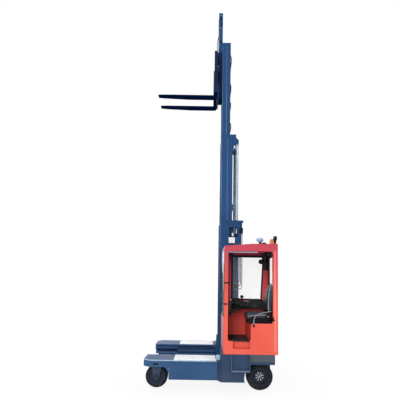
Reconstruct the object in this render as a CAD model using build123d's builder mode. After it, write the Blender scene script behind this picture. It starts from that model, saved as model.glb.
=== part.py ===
import os
from math import cos, radians, sin, sqrt
from build123d import *

os.makedirs("parts", exist_ok=True)

# Millimetres. Forward is -X, the driver's cab stands on the -Y side, Z is up from the floor.

# Whole truck: base legs in front, body behind them, cab and battery either side of the mast
platform_length = 1134
rear_length = 910
mast_half = 380
cab_gap = 25
cab_depth = 900
proud = 50
front_x = -(platform_length + rear_length) / 2
rear_x = front_x + platform_length + rear_length
body_half = mast_half + cab_gap + cab_depth

# Base legs, which carry the load platform and the front wheels
leg_gap = 245
leg_width = 550
leg_top = 435
leg_height = 286
nose_skirt = 102
nose_chamfer = 100
inner_web = 15
inner_web_drop = 78
rail_low = 290
rail_height = 70
rail_depth = 60
rail_front_x = front_x + 400
plate_start = 464
plate_thickness = 8
plate_sink = 6
plate_margin = 18
leg_in = mast_half + leg_gap
leg_out = leg_in + leg_width
leg_low = leg_top - leg_height
leg_rear_x = front_x + platform_length

# Rear frame under cab and battery
frame_top = 560
frame_flare = 60
frame_overhang = 47
beam_low = 262
beam_gap = 44
frame_front_x = leg_rear_x + frame_flare
frame_rear_x = rear_x - frame_overhang
tow_lug_length = 40
tow_lug_width = 90
tow_lug_thickness = 30
tow_hole_radius = 15
tow_lug_low = 300

# Wheels: front pair under the leg noses, rear pair under the frame
front_radius = 171.5
front_tread = 140
front_axle_x = front_x + 200
front_wheel_y = leg_out - 202
rear_radius = 203
rear_tread = 152
rear_axle_x = rear_x - 254
rear_wheel_y = body_half - 259
tyre_depth_front = 42
tyre_depth_rear = 66
tyre_shoulder = 12
arch_gap = 33
swing_gap = 6
well_roof = 17
rear_well_roof = 40
yoke_gap = 8
yoke_plate = 20
axle_radius = 20
hub_radius = 46
crown_thickness = 30
slew_gap = 0.5
drive_leg_width = 60

# Lift mast of three nested channel stages, shown raised
mast_setback = 51
channel_width = 60
stage_gap = 6
outer_depth = 240
middle_inset = 12
inner_inset = 16
middle_depth = 202
inner_depth = 151
flange = 18
web = 14
outer_low = 130
outer_top = 2728
stage_length = 2500
inner_length = 2762
lift_raised = 1596
mast_x = leg_rear_x + mast_setback
middle_x = mast_x + middle_inset
inner_x = mast_x + inner_inset
middle_half = mast_half - channel_width - stage_gap
inner_half = middle_half - channel_width - stage_gap
middle_top = outer_top + lift_raised - 1
middle_low = middle_top - stage_length
inner_top = 6131
inner_low = inner_top - inner_length
inner_floor = 12
inner_tie = 30
outer_cross_z = (560, 1500)
outer_cross_height = 160
roller_gap = 4
roller_play = 0.8
cross_thickness = 14

# Lift cylinders behind the rails, one each side, and the free lift cylinder in the middle
cylinder_x = mast_x + 300
cylinder_y = 300
barrel_radius = 38
rod_radius = 22
bore_gap = 0.6
barrel_floor = 40
barrel_top = 2500
head_low = 4130
head_reach = 24
head_neck = 60
head_drop = 105
head_plate = 44
free_barrel_radius = 45
free_rod_radius = 28
free_barrel_top = 4762
free_head_low = 5620
free_head_height = 60
sheave_radius = 64
sheave_width = 40
sheave_y = 70
free_x = inner_x + inner_depth / 2

# Lift chains over the sheaves at the top of the middle stage
chain_y = 205
chain_width = 30
chain_thickness = 12
chain_sheave = 32
chain_drop = 110
chain_front_x = inner_x + inner_depth + cross_thickness + 8
chain_x = chain_front_x + chain_thickness + chain_sheave
chain_z = middle_top - chain_drop

# Top bracket of the outer stage, with its window and the lip round it
bracket_rear_x = mast_x + 375
bracket_low = 2230
lip_height = 40
lip_rear_x = mast_x + 409
lip_front_x = mast_x + 100
window_x = (mast_x + 165, mast_x + 310)
window_z = (2440, 2601)

# Reach frame that carries the mast between the legs
reach_front_x = mast_x - 20
reach_rear_x = mast_x + 400
beam_front_x = reach_rear_x + beam_gap
reach_floor = 105
reach_plate = 20
reach_arm_z = (beam_low, 388)
reach_clearance = 10
reach_side = 16
reach_side_top = 640
guide_rollers_x = (mast_x + 74, mast_x + 364)
ram_y = 500
ram_z = 205
ram_radius = 32
ram_rod_radius = 18
ram_rear_x = rear_x - 10
ram_front_x = reach_front_x + 32

# Fork carriage, forks and load guard
carriage_half = 400
carriage_plate = 20
carriage_low = 5088
carriage_top = 5970
bar_x = mast_x - 81
bar_thickness = 32
bar_height = 100
upper_bar_z = 5480
fork_gap = 0.5
fork_thickness = 45
fork_width = 120
fork_y = 250
fork_top = 5066
fork_reach = 1042
fork_tip_thickness = 22
shank_height = 540
guard_top = 5884
guard_post = 34
guard_depth = 56
tower_top = 6810
tower_x = mast_x - 57
tower_depth = 76
tower_half = 122
tower_post = 26
tower_rung = 60
tower_pitch = 148

# Cab, open on the left side
cab_setback = 89
cab_bottom = frame_top
cab_front_top = 2194
cab_top = 2236
cab_crown_x = 420
cab_wall = 20
front_post = 60
rear_post = 78
sill_z = 755
box_z = 1020
box_front = 408
door_top = 2116
door_corner = 35
kick_x = (145, 395)
kick_low = 648
kick_depth = 75
kick_plate = 5
floor_thickness = 16
roof_depth = 40
roof_edge = 60
roof_bar = 16
roof_bars = 5
pane_thickness = 7
window_sill = 1352
window_head = 2085
inner_window_front = 177
inner_window_rear = 105
front_window_z = (1150, 2060)
rear_window_z = (1420, 2060)
cab_front_x = leg_rear_x + cab_setback
cab_length = rear_x - cab_front_x
cab_out = -body_half
cab_in = cab_out + cab_depth
box_front_x = cab_front_x + box_front
inside_y = (cab_out + cab_wall, cab_in - cab_wall)
roof_low = cab_front_top - roof_depth

# Inside the cab: seat on its box, console along the inner wall, key pod and steering wheel
box_top = sill_z + 245
seat_y = (cab_out + cab_in) / 2 + 5
seat_width = 450
seat_length = 423
seat_setback = 47
seat_foot = 62
cushion_thickness = 110
back_front = 134
back_top = 1655
console_z = (1200, 1330)
console_depth = 150
console_step = 144
console_shelf_depth = 360
console_shelf_z = (1195, 1290)
pod_length = 120
pod_inset = 40
pod_width = 110
pod_z = (1130, 1400)
wheel_x = cab_front_x + 303
wheel_y = cab_out + 555
wheel_z = 1262
wheel_tilt = 12
wheel_rim = 137
wheel_grip = 13
wheel_normal = (sin(radians(wheel_tilt)), 0, cos(radians(wheel_tilt)))
grab_x = cab_front_x + 70
grab_inset = 22
grab_radius = 10
grab_z = (1306, 2021)

# On the cab roof and outside the cab door
beacon_inset = 230
lamp_inset = 75
roof_lamp_x = rear_x - 56
roof_lamp_z = cab_front_top + 136
lamp_radius = 34
step_start = 122
step_length = 270
step_low = 300
step_plate = 12
step_side = 6

# Battery hood and battery, opposite the cab, and the cover between them
hood_top = 1180
hood_wall = 12
hood_in = -cab_in
battery_margin = 37
battery_height = 550
door_margin = 40
door_sill = 30
cover_gap = 2


def bar(x, y, z, mode=Mode.ADD):
    """Add or cut a plain bar between two limits on each axis."""
    with Locations(((x[0] + x[1]) / 2, (y[0] + y[1]) / 2, (z[0] + z[1]) / 2)):
        Box(abs(x[1] - x[0]), abs(y[1] - y[0]), abs(z[1] - z[0]), mode=mode)


def side_plane(y):
    """A plane across the truck at y, with X to the right and Z up in it."""
    return Plane(origin=(0, y, 0), x_dir=(1, 0, 0), z_dir=(0, -1, 0))


def slab(points, y, mode=Mode.ADD):
    """Add or cut an outline of (x, z) corners between two limits on Y."""
    with BuildSketch(side_plane(max(y))) as outline:
        with BuildLine():
            Polyline(*points, close=True)
        make_face()
    extrude(outline.sketch, amount=max(y) - min(y), mode=mode)


def disc_y(x, y, z, radius, mode=Mode.ADD):
    """Add or cut a round bar that lies along Y between two limits."""
    with Locations(Location((x, (y[0] + y[1]) / 2, z), (90, 0, 0))):
        Cylinder(radius, abs(y[1] - y[0]), mode=mode)


def disc_x(x, y, z, radius, mode=Mode.ADD):
    """Add or cut a round bar that lies along X between two limits."""
    with Locations(Location(((x[0] + x[1]) / 2, y, z), (0, 90, 0))):
        Cylinder(radius, abs(x[1] - x[0]), mode=mode)


def disc_z(x, y, z, radius, mode=Mode.ADD):
    """Add or cut an upright round bar between two heights."""
    with Locations((x, y, (z[0] + z[1]) / 2)):
        Cylinder(radius, abs(z[1] - z[0]), mode=mode)


def span(side, a, b):
    """The two Y limits a and b from the centre line, put on one side of it."""
    return (side * a, side * b)


def finish(piece, name):
    """Label a finished piece and write it."""
    piece.part.label = name
    export_step(piece.part, f"parts/{name}.step")


SIDES = (("left", -1), ("right", 1))

# Base legs: a box beam each, with a hood over the steered front wheel and a guide channel
# for the reach frame along its inner face.
swing_front = sqrt(front_radius**2 + (front_tread / 2) ** 2) + swing_gap
arch_radius = front_radius + arch_gap
nose_low = leg_top - nose_skirt
arch_top_x = front_axle_x + sqrt(arch_radius**2 - (nose_low - front_radius) ** 2)
beam_start_x = front_axle_x + arch_radius - 10
arch_low = front_radius + sqrt(arch_radius**2 - (beam_start_x - front_axle_x) ** 2)
for name, side in SIDES:
    with BuildPart() as leg:
        with BuildSketch(side_plane(max(span(side, leg_in, leg_out)))):
            with BuildLine():
                Line((beam_start_x, arch_low), (beam_start_x, leg_low))
                Polyline((beam_start_x, leg_low), (leg_rear_x, leg_low), (leg_rear_x, leg_top))
                Polyline((leg_rear_x, leg_top), (front_x, leg_top), (front_x, nose_low))
                Line((front_x, nose_low), (arch_top_x, nose_low))
                RadiusArc((arch_top_x, nose_low), (beam_start_x, arch_low), arch_radius)
            make_face()
        extrude(amount=leg_width)
        bar((front_x + 10, beam_start_x), span(side, leg_in, leg_in + inner_web),
            (nose_low - inner_web_drop, nose_low))
        with BuildSketch(Plane.XY.offset(leg_low)):
            with BuildLine():
                Polyline((front_x, side * leg_out), (front_x + nose_chamfer, side * leg_out),
                         (front_x, side * (leg_out - nose_chamfer)), close=True)
            make_face()
        extrude(amount=leg_height, mode=Mode.SUBTRACT)
        disc_z(front_axle_x, side * front_wheel_y, (leg_low, leg_top - well_roof), swing_front,
               mode=Mode.SUBTRACT)
        bar((rail_front_x, leg_rear_x), span(side, leg_in, leg_in + rail_depth),
            (rail_low, rail_low + rail_height), mode=Mode.SUBTRACT)
        bar((front_x + plate_start, leg_rear_x - plate_margin),
            span(side, leg_in + plate_margin, leg_out - plate_margin),
            (leg_top - plate_sink, leg_top), mode=Mode.SUBTRACT)
    finish(leg, f"leg_{name}")

with BuildPart() as wear_plates:
    for name, side in SIDES:
        bar((front_x + plate_start + 1, leg_rear_x - plate_margin - 1),
            span(side, leg_in + plate_margin + 1, leg_out - plate_margin - 1),
            (leg_top - plate_sink, leg_top - plate_sink + plate_thickness))
finish(wear_plates, "wear_plates")

# Rear frame: two side boxes joined by a cross beam, with a well over each rear wheel.
swing_rear = sqrt(rear_radius**2 + (rear_tread / 2) ** 2) + swing_gap
strip_low = rear_radius * 2 + 7
rear_arch = rear_radius + 50
arch_front_x = rear_axle_x - sqrt(rear_arch**2 - (strip_low - rear_radius) ** 2)
frame_low_x = rear_axle_x - sqrt(rear_arch**2 - (rear_radius - leg_low) ** 2)
well_top = frame_top - rear_well_roof
well_inner_y = rear_wheel_y - swing_rear
for name, side in SIDES:
    with BuildPart() as frame_side:
        with BuildSketch(side_plane(max(span(side, leg_in, body_half)))):
            with BuildLine():
                Polyline((frame_low_x, leg_low), (frame_front_x, leg_low),
                         (frame_front_x, frame_top), (frame_rear_x, frame_top),
                         (frame_rear_x, strip_low), (arch_front_x, strip_low))
                RadiusArc((arch_front_x, strip_low), (frame_low_x, leg_low), -rear_arch)
            make_face()
        extrude(amount=body_half - leg_in)
        with BuildSketch(Plane.XY.offset(leg_low)):
            with BuildLine():
                Polyline((leg_rear_x, side * leg_in), (frame_front_x, side * leg_in),
                         (frame_front_x, side * body_half), (leg_rear_x, side * leg_out),
                         close=True)
            make_face()
        extrude(amount=leg_height)
        bar((beam_front_x, frame_rear_x), span(side, leg_in, well_inner_y), (beam_low, frame_top))
        disc_z(rear_axle_x, side * rear_wheel_y, (leg_low, well_top), swing_rear, mode=Mode.SUBTRACT)
        bar((leg_rear_x, beam_front_x), span(side, leg_in, leg_in + rail_depth),
            (rail_low, rail_low + rail_height), mode=Mode.SUBTRACT)
    finish(frame_side, f"frame_side_{name}")

with BuildPart() as rear_beam:
    bar((beam_front_x, frame_rear_x), (-leg_in, leg_in), (beam_low, frame_top))
    bar((frame_rear_x - 5, frame_rear_x + tow_lug_length), (-tow_lug_width / 2, tow_lug_width / 2),
        (tow_lug_low, tow_lug_low + tow_lug_thickness))
    disc_z(frame_rear_x + tow_lug_length / 2, 0, (tow_lug_low, tow_lug_low + tow_lug_thickness),
           tow_hole_radius, mode=Mode.SUBTRACT)
finish(rear_beam, "rear_beam")

# Steered wheels. Each one has its yoke or drive leg under a slewing ring, a tyre and a rim.
for name, side in SIDES:
    y = side * front_wheel_y
    crown_low = 2 * front_radius + yoke_gap
    cheek_in = front_tread / 2 + yoke_gap
    with BuildPart() as yoke:
        disc_z(front_axle_x, y, (crown_low, crown_low + crown_thickness), 112)
        disc_z(front_axle_x, y, (crown_low + crown_thickness, leg_top - well_roof - slew_gap), 95)
        for out in (-1, 1):
            cheek_y = (y + out * cheek_in, y + out * (cheek_in + yoke_plate))
            slab([(front_axle_x - 92, crown_low + crown_thickness),
                  (front_axle_x + 92, crown_low + crown_thickness),
                  (front_axle_x + hub_radius, front_radius), (front_axle_x - hub_radius, front_radius)],
                 cheek_y)
            disc_y(front_axle_x, cheek_y, front_radius, hub_radius)
        disc_y(front_axle_x, (y - cheek_in - yoke_plate - 6, y + cheek_in + yoke_plate + 6),
               front_radius, axle_radius)
    finish(yoke, f"front_yoke_{name}")

    crown_low = 2 * rear_radius + yoke_gap
    wheel_in = rear_wheel_y - rear_tread / 2 - yoke_gap
    leg_y = (side * wheel_in, side * (wheel_in - drive_leg_width))
    with BuildPart() as drive:
        disc_z(rear_axle_x, side * rear_wheel_y, (crown_low, crown_low + crown_thickness), 150)
        disc_z(rear_axle_x, side * rear_wheel_y,
               (crown_low + crown_thickness, well_top - slew_gap), 130)
        bar((rear_axle_x - 75, rear_axle_x + 75), leg_y, (rear_radius, crown_low + crown_thickness))
        disc_y(rear_axle_x, leg_y, rear_radius, 75)
        disc_y(rear_axle_x, (leg_y[0], leg_y[0] + side * (yoke_gap + 30)), rear_radius, axle_radius)
    finish(drive, f"drive_unit_{name}")

WHEELS = (
    # name, axle x, wheel y, radius, tread, tyre depth, dish, hub radius
    ("front_left", front_axle_x, -front_wheel_y, front_radius, front_tread, tyre_depth_front, 30, 46),
    ("front_right", front_axle_x, front_wheel_y, front_radius, front_tread, tyre_depth_front, 30, 46),
    ("rear_left", rear_axle_x, -rear_wheel_y, rear_radius, rear_tread, tyre_depth_rear, 70, 80),
    ("rear_right", rear_axle_x, rear_wheel_y, rear_radius, rear_tread, tyre_depth_rear, 70, 80),
)
for name, x, y, radius, tread, depth, dish, hub in WHEELS:
    out = 1 if y > 0 else -1
    rim = radius - depth
    with BuildPart() as tyre:
        disc_y(x, (y - tread / 2, y + tread / 2), radius, radius)
        chamfer(tyre.edges().filter_by(GeomType.CIRCLE), tyre_shoulder)
        disc_y(x, (y - tread / 2, y + tread / 2), radius, rim, mode=Mode.SUBTRACT)
    finish(tyre, f"tyre_{name}")
    bore = axle_radius + 0.5
    with BuildPart() as wheel:
        disc_y(x, (y - tread / 2 + 3, y + tread / 2 - 3), radius, rim)
        disc_y(x, (y + out * tread / 2, y + out * (tread / 2 - dish)), radius, rim - 14,
               mode=Mode.SUBTRACT)
        if name.startswith("front"):
            disc_y(x, (y - out * tread / 2, y - out * (tread / 2 - dish)), radius, rim - 14,
                   mode=Mode.SUBTRACT)
            disc_y(x, (y - tread / 2 + 4, y + tread / 2 - 4), radius, hub)
            disc_y(x, (y - tread, y + tread), radius, bore, mode=Mode.SUBTRACT)
        else:
            disc_y(x, (y + out * (tread / 2 - dish), y + out * (tread / 2 - dish + 25)), radius, hub)
            disc_y(x, (y - out * tread, y - out * 44), radius, bore, mode=Mode.SUBTRACT)
    finish(wheel, f"rim_{name}")


def rails(half, x, depth, low, top):
    """A pair of channels that face each other, flanges inwards, with their outer faces at half."""
    for _, side in SIDES:
        bar((x, x + depth), span(side, half - web, half), (low, top))
        for edge in (x, x + depth - flange):
            bar((edge, edge + flange), span(side, half - channel_width, half), (low, top))


def cross(half, x, z, thickness=cross_thickness):
    """A cross plate behind a pair of rails."""
    bar((x, x + thickness), (-half, half), z)


# Outer stage: the widest channels, tied behind, with a window and a lip in its top brackets.
with BuildPart() as outer:
    rails(mast_half, mast_x, outer_depth, outer_low, outer_top)
    for low in outer_cross_z:
        cross(mast_half, mast_x + outer_depth, (low, low + outer_cross_height))
    for _, side in SIDES:
        bar((mast_x + outer_depth, bracket_rear_x), span(side, mast_half - web, mast_half),
            (bracket_low, outer_top))
        bar((lip_front_x, lip_rear_x), span(side, mast_half - 30, mast_half + 6),
            (outer_top - lip_height, outer_top))
        bar(window_x, span(side, mast_half - channel_width, mast_half + 1), window_z, mode=Mode.SUBTRACT)
    cross(mast_half, bracket_rear_x, (outer_top - lip_height - 104, outer_top - lip_height))
finish(outer, "mast_outer")

with BuildPart() as barrels:
    for _, side in SIDES:
        y = side * cylinder_y
        disc_z(cylinder_x, y, (reach_floor + reach_plate, barrel_top), barrel_radius)
        disc_z(cylinder_x, y, (reach_floor + reach_plate + barrel_floor, barrel_top),
               rod_radius + bore_gap, mode=Mode.SUBTRACT)
finish(barrels, "lift_barrels")

lamp_x = (mast_x + 151, mast_x + 258)
with BuildPart() as lamp:
    bar(lamp_x, (-mast_half - 7, -mast_half - 45), (2322, 2420))
    bar((lamp_x[0] + 40, lamp_x[1] - 40), (-mast_half, -mast_half - 7), (2350, 2392))
finish(lamp, "mast_lamp")

# Middle stage, with the arms that the lift rods push and rollers in the outer channels.
roller_x = mast_x + outer_depth / 2
with BuildPart() as middle:
    rails(middle_half, middle_x, middle_depth, middle_low, middle_top)
    for low in (middle_low + 20, middle_low + 1100, middle_top - 340):
        cross(middle_half, middle_x + middle_depth, (low, low + 110))
    bar((middle_x + middle_depth - flange, chain_x + head_plate), (-middle_half, middle_half),
        (middle_top - 30, middle_top))
    for _, side in SIDES:
        bar((chain_x - 20, chain_x + 20),
            span(side, chain_y + chain_width / 2 + 0.5, chain_y + chain_width / 2 + 14),
            (chain_z - 24, middle_top - 30))
        slab([(middle_x + middle_depth, head_low), (middle_x + middle_depth, middle_top),
              (chain_x + head_plate, middle_top), (chain_x + head_plate, middle_top - head_neck),
              (cylinder_x + head_reach, middle_top - head_drop), (cylinder_x + head_reach, head_low)],
             span(side, cylinder_y - 38, middle_half))
        for z in (middle_low + 120, middle_low + 420):
            disc_y(roller_x, span(side, middle_half, mast_half - web - roller_gap), z,
                   outer_depth / 2 - flange - roller_play)
finish(middle, "mast_middle")

with BuildPart() as rods:
    for _, side in SIDES:
        disc_z(cylinder_x, side * cylinder_y, (2330, head_low), rod_radius)
finish(rods, "lift_rods")

# Lift chains over the sheaves at the top of the middle stage.
with BuildPart() as chains:
    for _, side in SIDES:
        y = span(side, chain_y - chain_width / 2, chain_y + chain_width / 2)
        bar((chain_front_x, chain_front_x + chain_thickness), y, (3440, chain_z))
        bar((chain_x + chain_sheave, chain_x + chain_sheave + chain_thickness), y, (2720, chain_z))
        disc_y(chain_x, y, chain_z, chain_sheave + chain_thickness)
finish(chains, "lift_chains")

# Inner stage, with rollers in the middle channels.
roller_x = middle_x + middle_depth / 2
with BuildPart() as inner:
    rails(inner_half, inner_x, inner_depth, inner_low, inner_top)
    for low in (inner_low, inner_low + 700, inner_low + 1500):
        cross(inner_half, inner_x + inner_depth, (low, low + 90))
    bar((inner_x + inner_depth - inner_tie, inner_x + inner_depth), (-inner_half, inner_half),
        (inner_top - 60, inner_top))
    for _, side in SIDES:
        for z in (inner_low + 100, inner_low + 400):
            disc_y(roller_x, span(side, inner_half, middle_half - web - roller_gap), z,
                   middle_depth / 2 - flange - roller_play)
    bar((free_x - 60, inner_x + inner_depth), (-inner_half + channel_width, inner_half - channel_width),
        (inner_low, inner_low + inner_floor))
    for _, side in SIDES:
        bar((free_x - 30, free_x + 30), span(side, inner_half - web, inner_half - channel_width),
            (inner_low, inner_low + inner_floor))
finish(inner, "mast_inner")

with BuildPart() as free_barrel:
    disc_z(free_x, 0, (inner_low + inner_floor, free_barrel_top), free_barrel_radius)
    disc_z(free_x, 0, (inner_low + inner_floor + barrel_floor, free_barrel_top),
           free_rod_radius + bore_gap, mode=Mode.SUBTRACT)
finish(free_barrel, "free_lift_barrel")

with BuildPart() as free_head:
    disc_z(free_x, 0, (free_barrel_top - 80, free_head_low), free_rod_radius)
    bar((free_x - 45, free_x + 45), (-sheave_y - sheave_width / 2, sheave_y + sheave_width / 2),
        (free_head_low, free_head_low + free_head_height))
    for _, side in SIDES:
        disc_y(free_x, span(side, sheave_y - sheave_width / 2, sheave_y + sheave_width / 2),
               free_head_low + free_head_height + 30, sheave_radius)
finish(free_head, "free_lift_head")

with BuildPart() as carriage_chains:
    for _, side in SIDES:
        y = span(side, sheave_y - 15, sheave_y + 15)
        z = free_head_low + free_head_height + 30
        bar((free_x - sheave_radius - 8, free_x - sheave_radius - 0.3), y, (z - 330, z))
        bar((free_x + sheave_radius + 0.3, free_x + sheave_radius + 8), y, (z - 1300, z))
finish(carriage_chains, "carriage_chains")

# Fork carriage: side plates with rollers inside the inner channels, and two fork bars.
plate_y = inner_half - channel_width - stage_gap
with BuildPart() as carriage:
    for _, side in SIDES:
        bar((bar_x + bar_thickness, inner_x + inner_depth - flange - 5),
            span(side, plate_y - carriage_plate, plate_y), (carriage_low, carriage_top))
        for z in (carriage_low + 90, carriage_top - 90):
            disc_y(free_x, span(side, plate_y, inner_half - web - roller_gap), z,
                   inner_depth / 2 - flange - roller_play)
    for low in (carriage_low, upper_bar_z):
        bar((bar_x, bar_x + bar_thickness), (-carriage_half, carriage_half), (low, low + bar_height))
    bar((bar_x, bar_x + bar_thickness), (-plate_y, plate_y), (carriage_top - 80, carriage_top))
    bar((bar_x, tower_x + tower_rung), (-plate_y, plate_y), (carriage_top - 20, carriage_top))
    for _, side in SIDES:
        bar((bar_x, tower_x + tower_depth), span(side, tower_half - tower_post, plate_y),
            (carriage_top - 20, carriage_top))
finish(carriage, "fork_carriage")

shank_x = bar_x - fork_gap - fork_thickness
for name, side in SIDES:
    fork_heel = shank_x + fork_thickness
    fork_low = fork_top - fork_thickness
    upper = upper_bar_z + bar_height + fork_gap
    lower = carriage_low - fork_gap
    with BuildPart() as fork:
        slab([(shank_x - fork_reach, fork_top - fork_tip_thickness), (shank_x - fork_reach, fork_top),
              (shank_x, fork_top), (shank_x, fork_low + shank_height + 60),
              (fork_heel, fork_low + shank_height + 60), (fork_heel, fork_low),
              (shank_x - fork_reach * 0.45, fork_low)],
             span(side, fork_y - fork_width / 2, fork_y + fork_width / 2))
        bar((fork_heel - 5, fork_heel + 24), span(side, fork_y - fork_width / 2, fork_y + fork_width / 2),
            (upper, upper + 30))
    finish(fork, f"fork_{name}")

with BuildPart() as guard:
    guard_x = (bar_x - guard_depth, bar_x)
    for _, side in SIDES:
        bar(guard_x, span(side, carriage_half - guard_post, carriage_half), (carriage_low, guard_top))
        bar((bar_x - 20, bar_x), span(side, 130, 150), (upper_bar_z + bar_height + 90, guard_top))
    bar((bar_x - 30, bar_x), (-carriage_half, carriage_half), (guard_top - 40, guard_top))
    bar((bar_x - 20, bar_x), (-carriage_half, carriage_half),
        (upper_bar_z + bar_height + 60, upper_bar_z + bar_height + 90))
finish(guard, "load_guard")

with BuildPart() as tower:
    for _, side in SIDES:
        bar((tower_x, tower_x + tower_depth), span(side, tower_half - tower_post, tower_half),
            (carriage_top, tower_top))
    rung = carriage_top + 60
    while rung < tower_top:
        bar((tower_x + 5, tower_x + tower_rung), (-tower_half, tower_half), (rung, rung + 24))
        rung += tower_pitch
finish(tower, "carriage_tower")

# Reach frame: a floor plate and side plates round the mast foot, arms to the leg channels,
# and a ram under the rear beam that pushes it forward.
with BuildPart() as reach:
    bar((reach_front_x, reach_rear_x), (-mast_half - reach_side, mast_half + reach_side),
        (reach_floor, reach_floor + reach_plate))
    for _, side in SIDES:
        bar((reach_front_x, reach_rear_x), span(side, mast_half, mast_half + reach_side),
            (reach_floor + reach_plate, reach_side_top))
        bar((reach_front_x, reach_rear_x), span(side, mast_half + reach_side, leg_in - reach_clearance),
            reach_arm_z)
        for x in guide_rollers_x:
            disc_y(x, span(side, leg_in - reach_clearance, leg_in + rail_depth - 5),
                   rail_low + rail_height / 2, rail_height / 2 - roller_play)
    bar((reach_front_x, reach_front_x + 24),
        (-ram_y - 24, -ram_y + 24), (ram_z - 25, reach_arm_z[0]))
finish(reach, "reach_frame")

with BuildPart() as ram_barrel:
    disc_x((ram_front_x, ram_rear_x), -ram_y, ram_z, ram_radius)
    disc_x((ram_front_x, ram_rear_x - 25), -ram_y, ram_z, ram_rod_radius + bore_gap,
           mode=Mode.SUBTRACT)
    bar((frame_rear_x - 60, frame_rear_x), (-ram_y - 24, -ram_y + 24), (ram_z + 28, beam_low))
finish(ram_barrel, "reach_barrel")

with BuildPart() as ram_rod:
    disc_x((reach_front_x + 24, ram_rear_x - 30), -ram_y, ram_z, ram_rod_radius)
finish(ram_rod, "reach_rod")

# Cab panels: the open side with its door cut-out, three walls with windows, and the roof rim
with BuildPart() as cab_side:
    slab([(cab_front_x, sill_z), (rear_x, sill_z), (rear_x, cab_top),
          (cab_front_x + cab_crown_x, cab_top - 4), (cab_front_x, cab_front_top)],
         (cab_out, cab_out + cab_wall))
    with BuildSketch(side_plane(cab_out + cab_wall + 1)) as doorway:
        with BuildLine():
            Polyline((cab_front_x + front_post, sill_z - 1), (box_front_x, sill_z - 1),
                     (box_front_x, box_z), (rear_x - rear_post, box_z),
                     (rear_x - rear_post, door_top), (cab_front_x + front_post, door_top),
                     close=True)
        make_face()
        fillet(doorway.vertices().group_by(Axis.Z)[-1], door_corner)
    extrude(amount=cab_wall + 2, mode=Mode.SUBTRACT)
finish(cab_side, "cab_side")

toe_x = (cab_front_x + kick_x[0], cab_front_x + kick_x[1])
with BuildPart() as cab_sill:
    bar((cab_front_x, rear_x), (cab_out, cab_out + cab_wall), (cab_bottom, sill_z))
    bar((toe_x[0] - kick_plate, toe_x[1] + kick_plate), (cab_out, cab_out + kick_depth + kick_plate),
        (kick_low - kick_plate, sill_z - floor_thickness))
    bar(toe_x, (cab_out - 1, cab_out + kick_depth), (kick_low, sill_z + 1), mode=Mode.SUBTRACT)
finish(cab_sill, "cab_sill")

with BuildPart() as cab_front:
    bar((cab_front_x, cab_front_x + cab_wall), (inside_y[0], cab_in), (cab_bottom, roof_low))
    bar((cab_front_x - 1, cab_front_x + cab_wall + 1), (inside_y[0] + 50, cab_in - 70),
        front_window_z, mode=Mode.SUBTRACT)
finish(cab_front, "cab_front")

with BuildPart() as cab_rear:
    bar((rear_x - cab_wall, rear_x), (inside_y[0], cab_in), (cab_bottom, roof_low))
    bar((rear_x - cab_wall - 1, rear_x + 1), (inside_y[0] + 110, cab_in - 110),
        rear_window_z, mode=Mode.SUBTRACT)
finish(cab_rear, "cab_rear")

with BuildPart() as cab_inner:
    bar((cab_front_x + cab_wall, rear_x - cab_wall), (cab_in - cab_wall, cab_in), (cab_bottom, roof_low))
    bar((cab_front_x + inner_window_front, rear_x - inner_window_rear),
        (cab_in - cab_wall - 1, cab_in + 1), (window_sill, window_head), mode=Mode.SUBTRACT)
finish(cab_inner, "cab_inner")

light_x = (cab_front_x + roof_edge, rear_x - roof_edge - 30)
light_y = (inside_y[0] + 40, cab_in - roof_edge)
with BuildPart() as roof:
    bar((cab_front_x, rear_x), (inside_y[0], cab_in), (roof_low, cab_front_top - 4))
    bar(light_x, light_y, (roof_low, cab_front_top), mode=Mode.SUBTRACT)
    for n in range(1, roof_bars + 1):
        x = light_x[0] + n * (light_x[1] - light_x[0]) / (roof_bars + 1)
        bar((x - roof_bar / 2, x + roof_bar / 2), light_y, (roof_low, roof_low + 24))
finish(roof, "cab_roof")

with BuildPart() as pane:
    bar((light_x[0] + 1, light_x[1] - 1), (light_y[0] + 1, light_y[1] - 1),
        (roof_low + 24.3, roof_low + 24.3 + pane_thickness))
finish(pane, "roof_pane")

with BuildPart() as floor:
    bar((cab_front_x + cab_wall, rear_x - cab_wall), inside_y, (sill_z - floor_thickness, sill_z))
    bar(toe_x, (cab_out, cab_out + kick_depth), (sill_z - floor_thickness - 1, sill_z + 1),
        mode=Mode.SUBTRACT)
finish(floor, "cab_floor")

with BuildPart() as seat_box:
    bar((box_front_x, rear_x - cab_wall), inside_y, (sill_z, box_top))
finish(seat_box, "seat_box")

seat_rear_x = rear_x - seat_setback
seat_front_x = seat_rear_x - seat_length
cushion_low = box_top + seat_foot + 0.3
cushion_top = cushion_low + cushion_thickness
with BuildPart() as seat_base:
    bar((seat_front_x + 47, seat_rear_x - 15), (seat_y - 180, seat_y + 180), (box_top, box_top + seat_foot))
finish(seat_base, "seat_base")

with BuildPart() as cushion:
    bar((seat_front_x, seat_rear_x), (seat_y - seat_width / 2, seat_y + seat_width / 2),
        (cushion_low, cushion_top))
    fillet(cushion.edges().filter_by(Axis.Y), 20)
finish(cushion, "seat_cushion")

back_x = rear_x - back_front
with BuildPart() as backrest:
    slab([(back_x + 4, cushion_top + 0.3), (rear_x - 32, cushion_top + 0.3), (rear_x - 24, back_top - 20),
          (rear_x - 32, back_top), (back_x + 76, back_top), (back_x + 50, back_top - 80),
          (back_x, back_top - 220)],
         (seat_y - seat_width / 2 + 10, seat_y + seat_width / 2 - 10))
finish(backrest, "seat_back")

console_y = cab_in - cab_wall
with BuildPart() as console:
    bar((cab_front_x + console_step, rear_x - 70), (console_y, console_y - console_depth), console_z)
    bar((cab_front_x + cab_wall, cab_front_x + console_step), (console_y, console_y - console_shelf_depth),
        console_shelf_z)
finish(console, "side_console")

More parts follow.
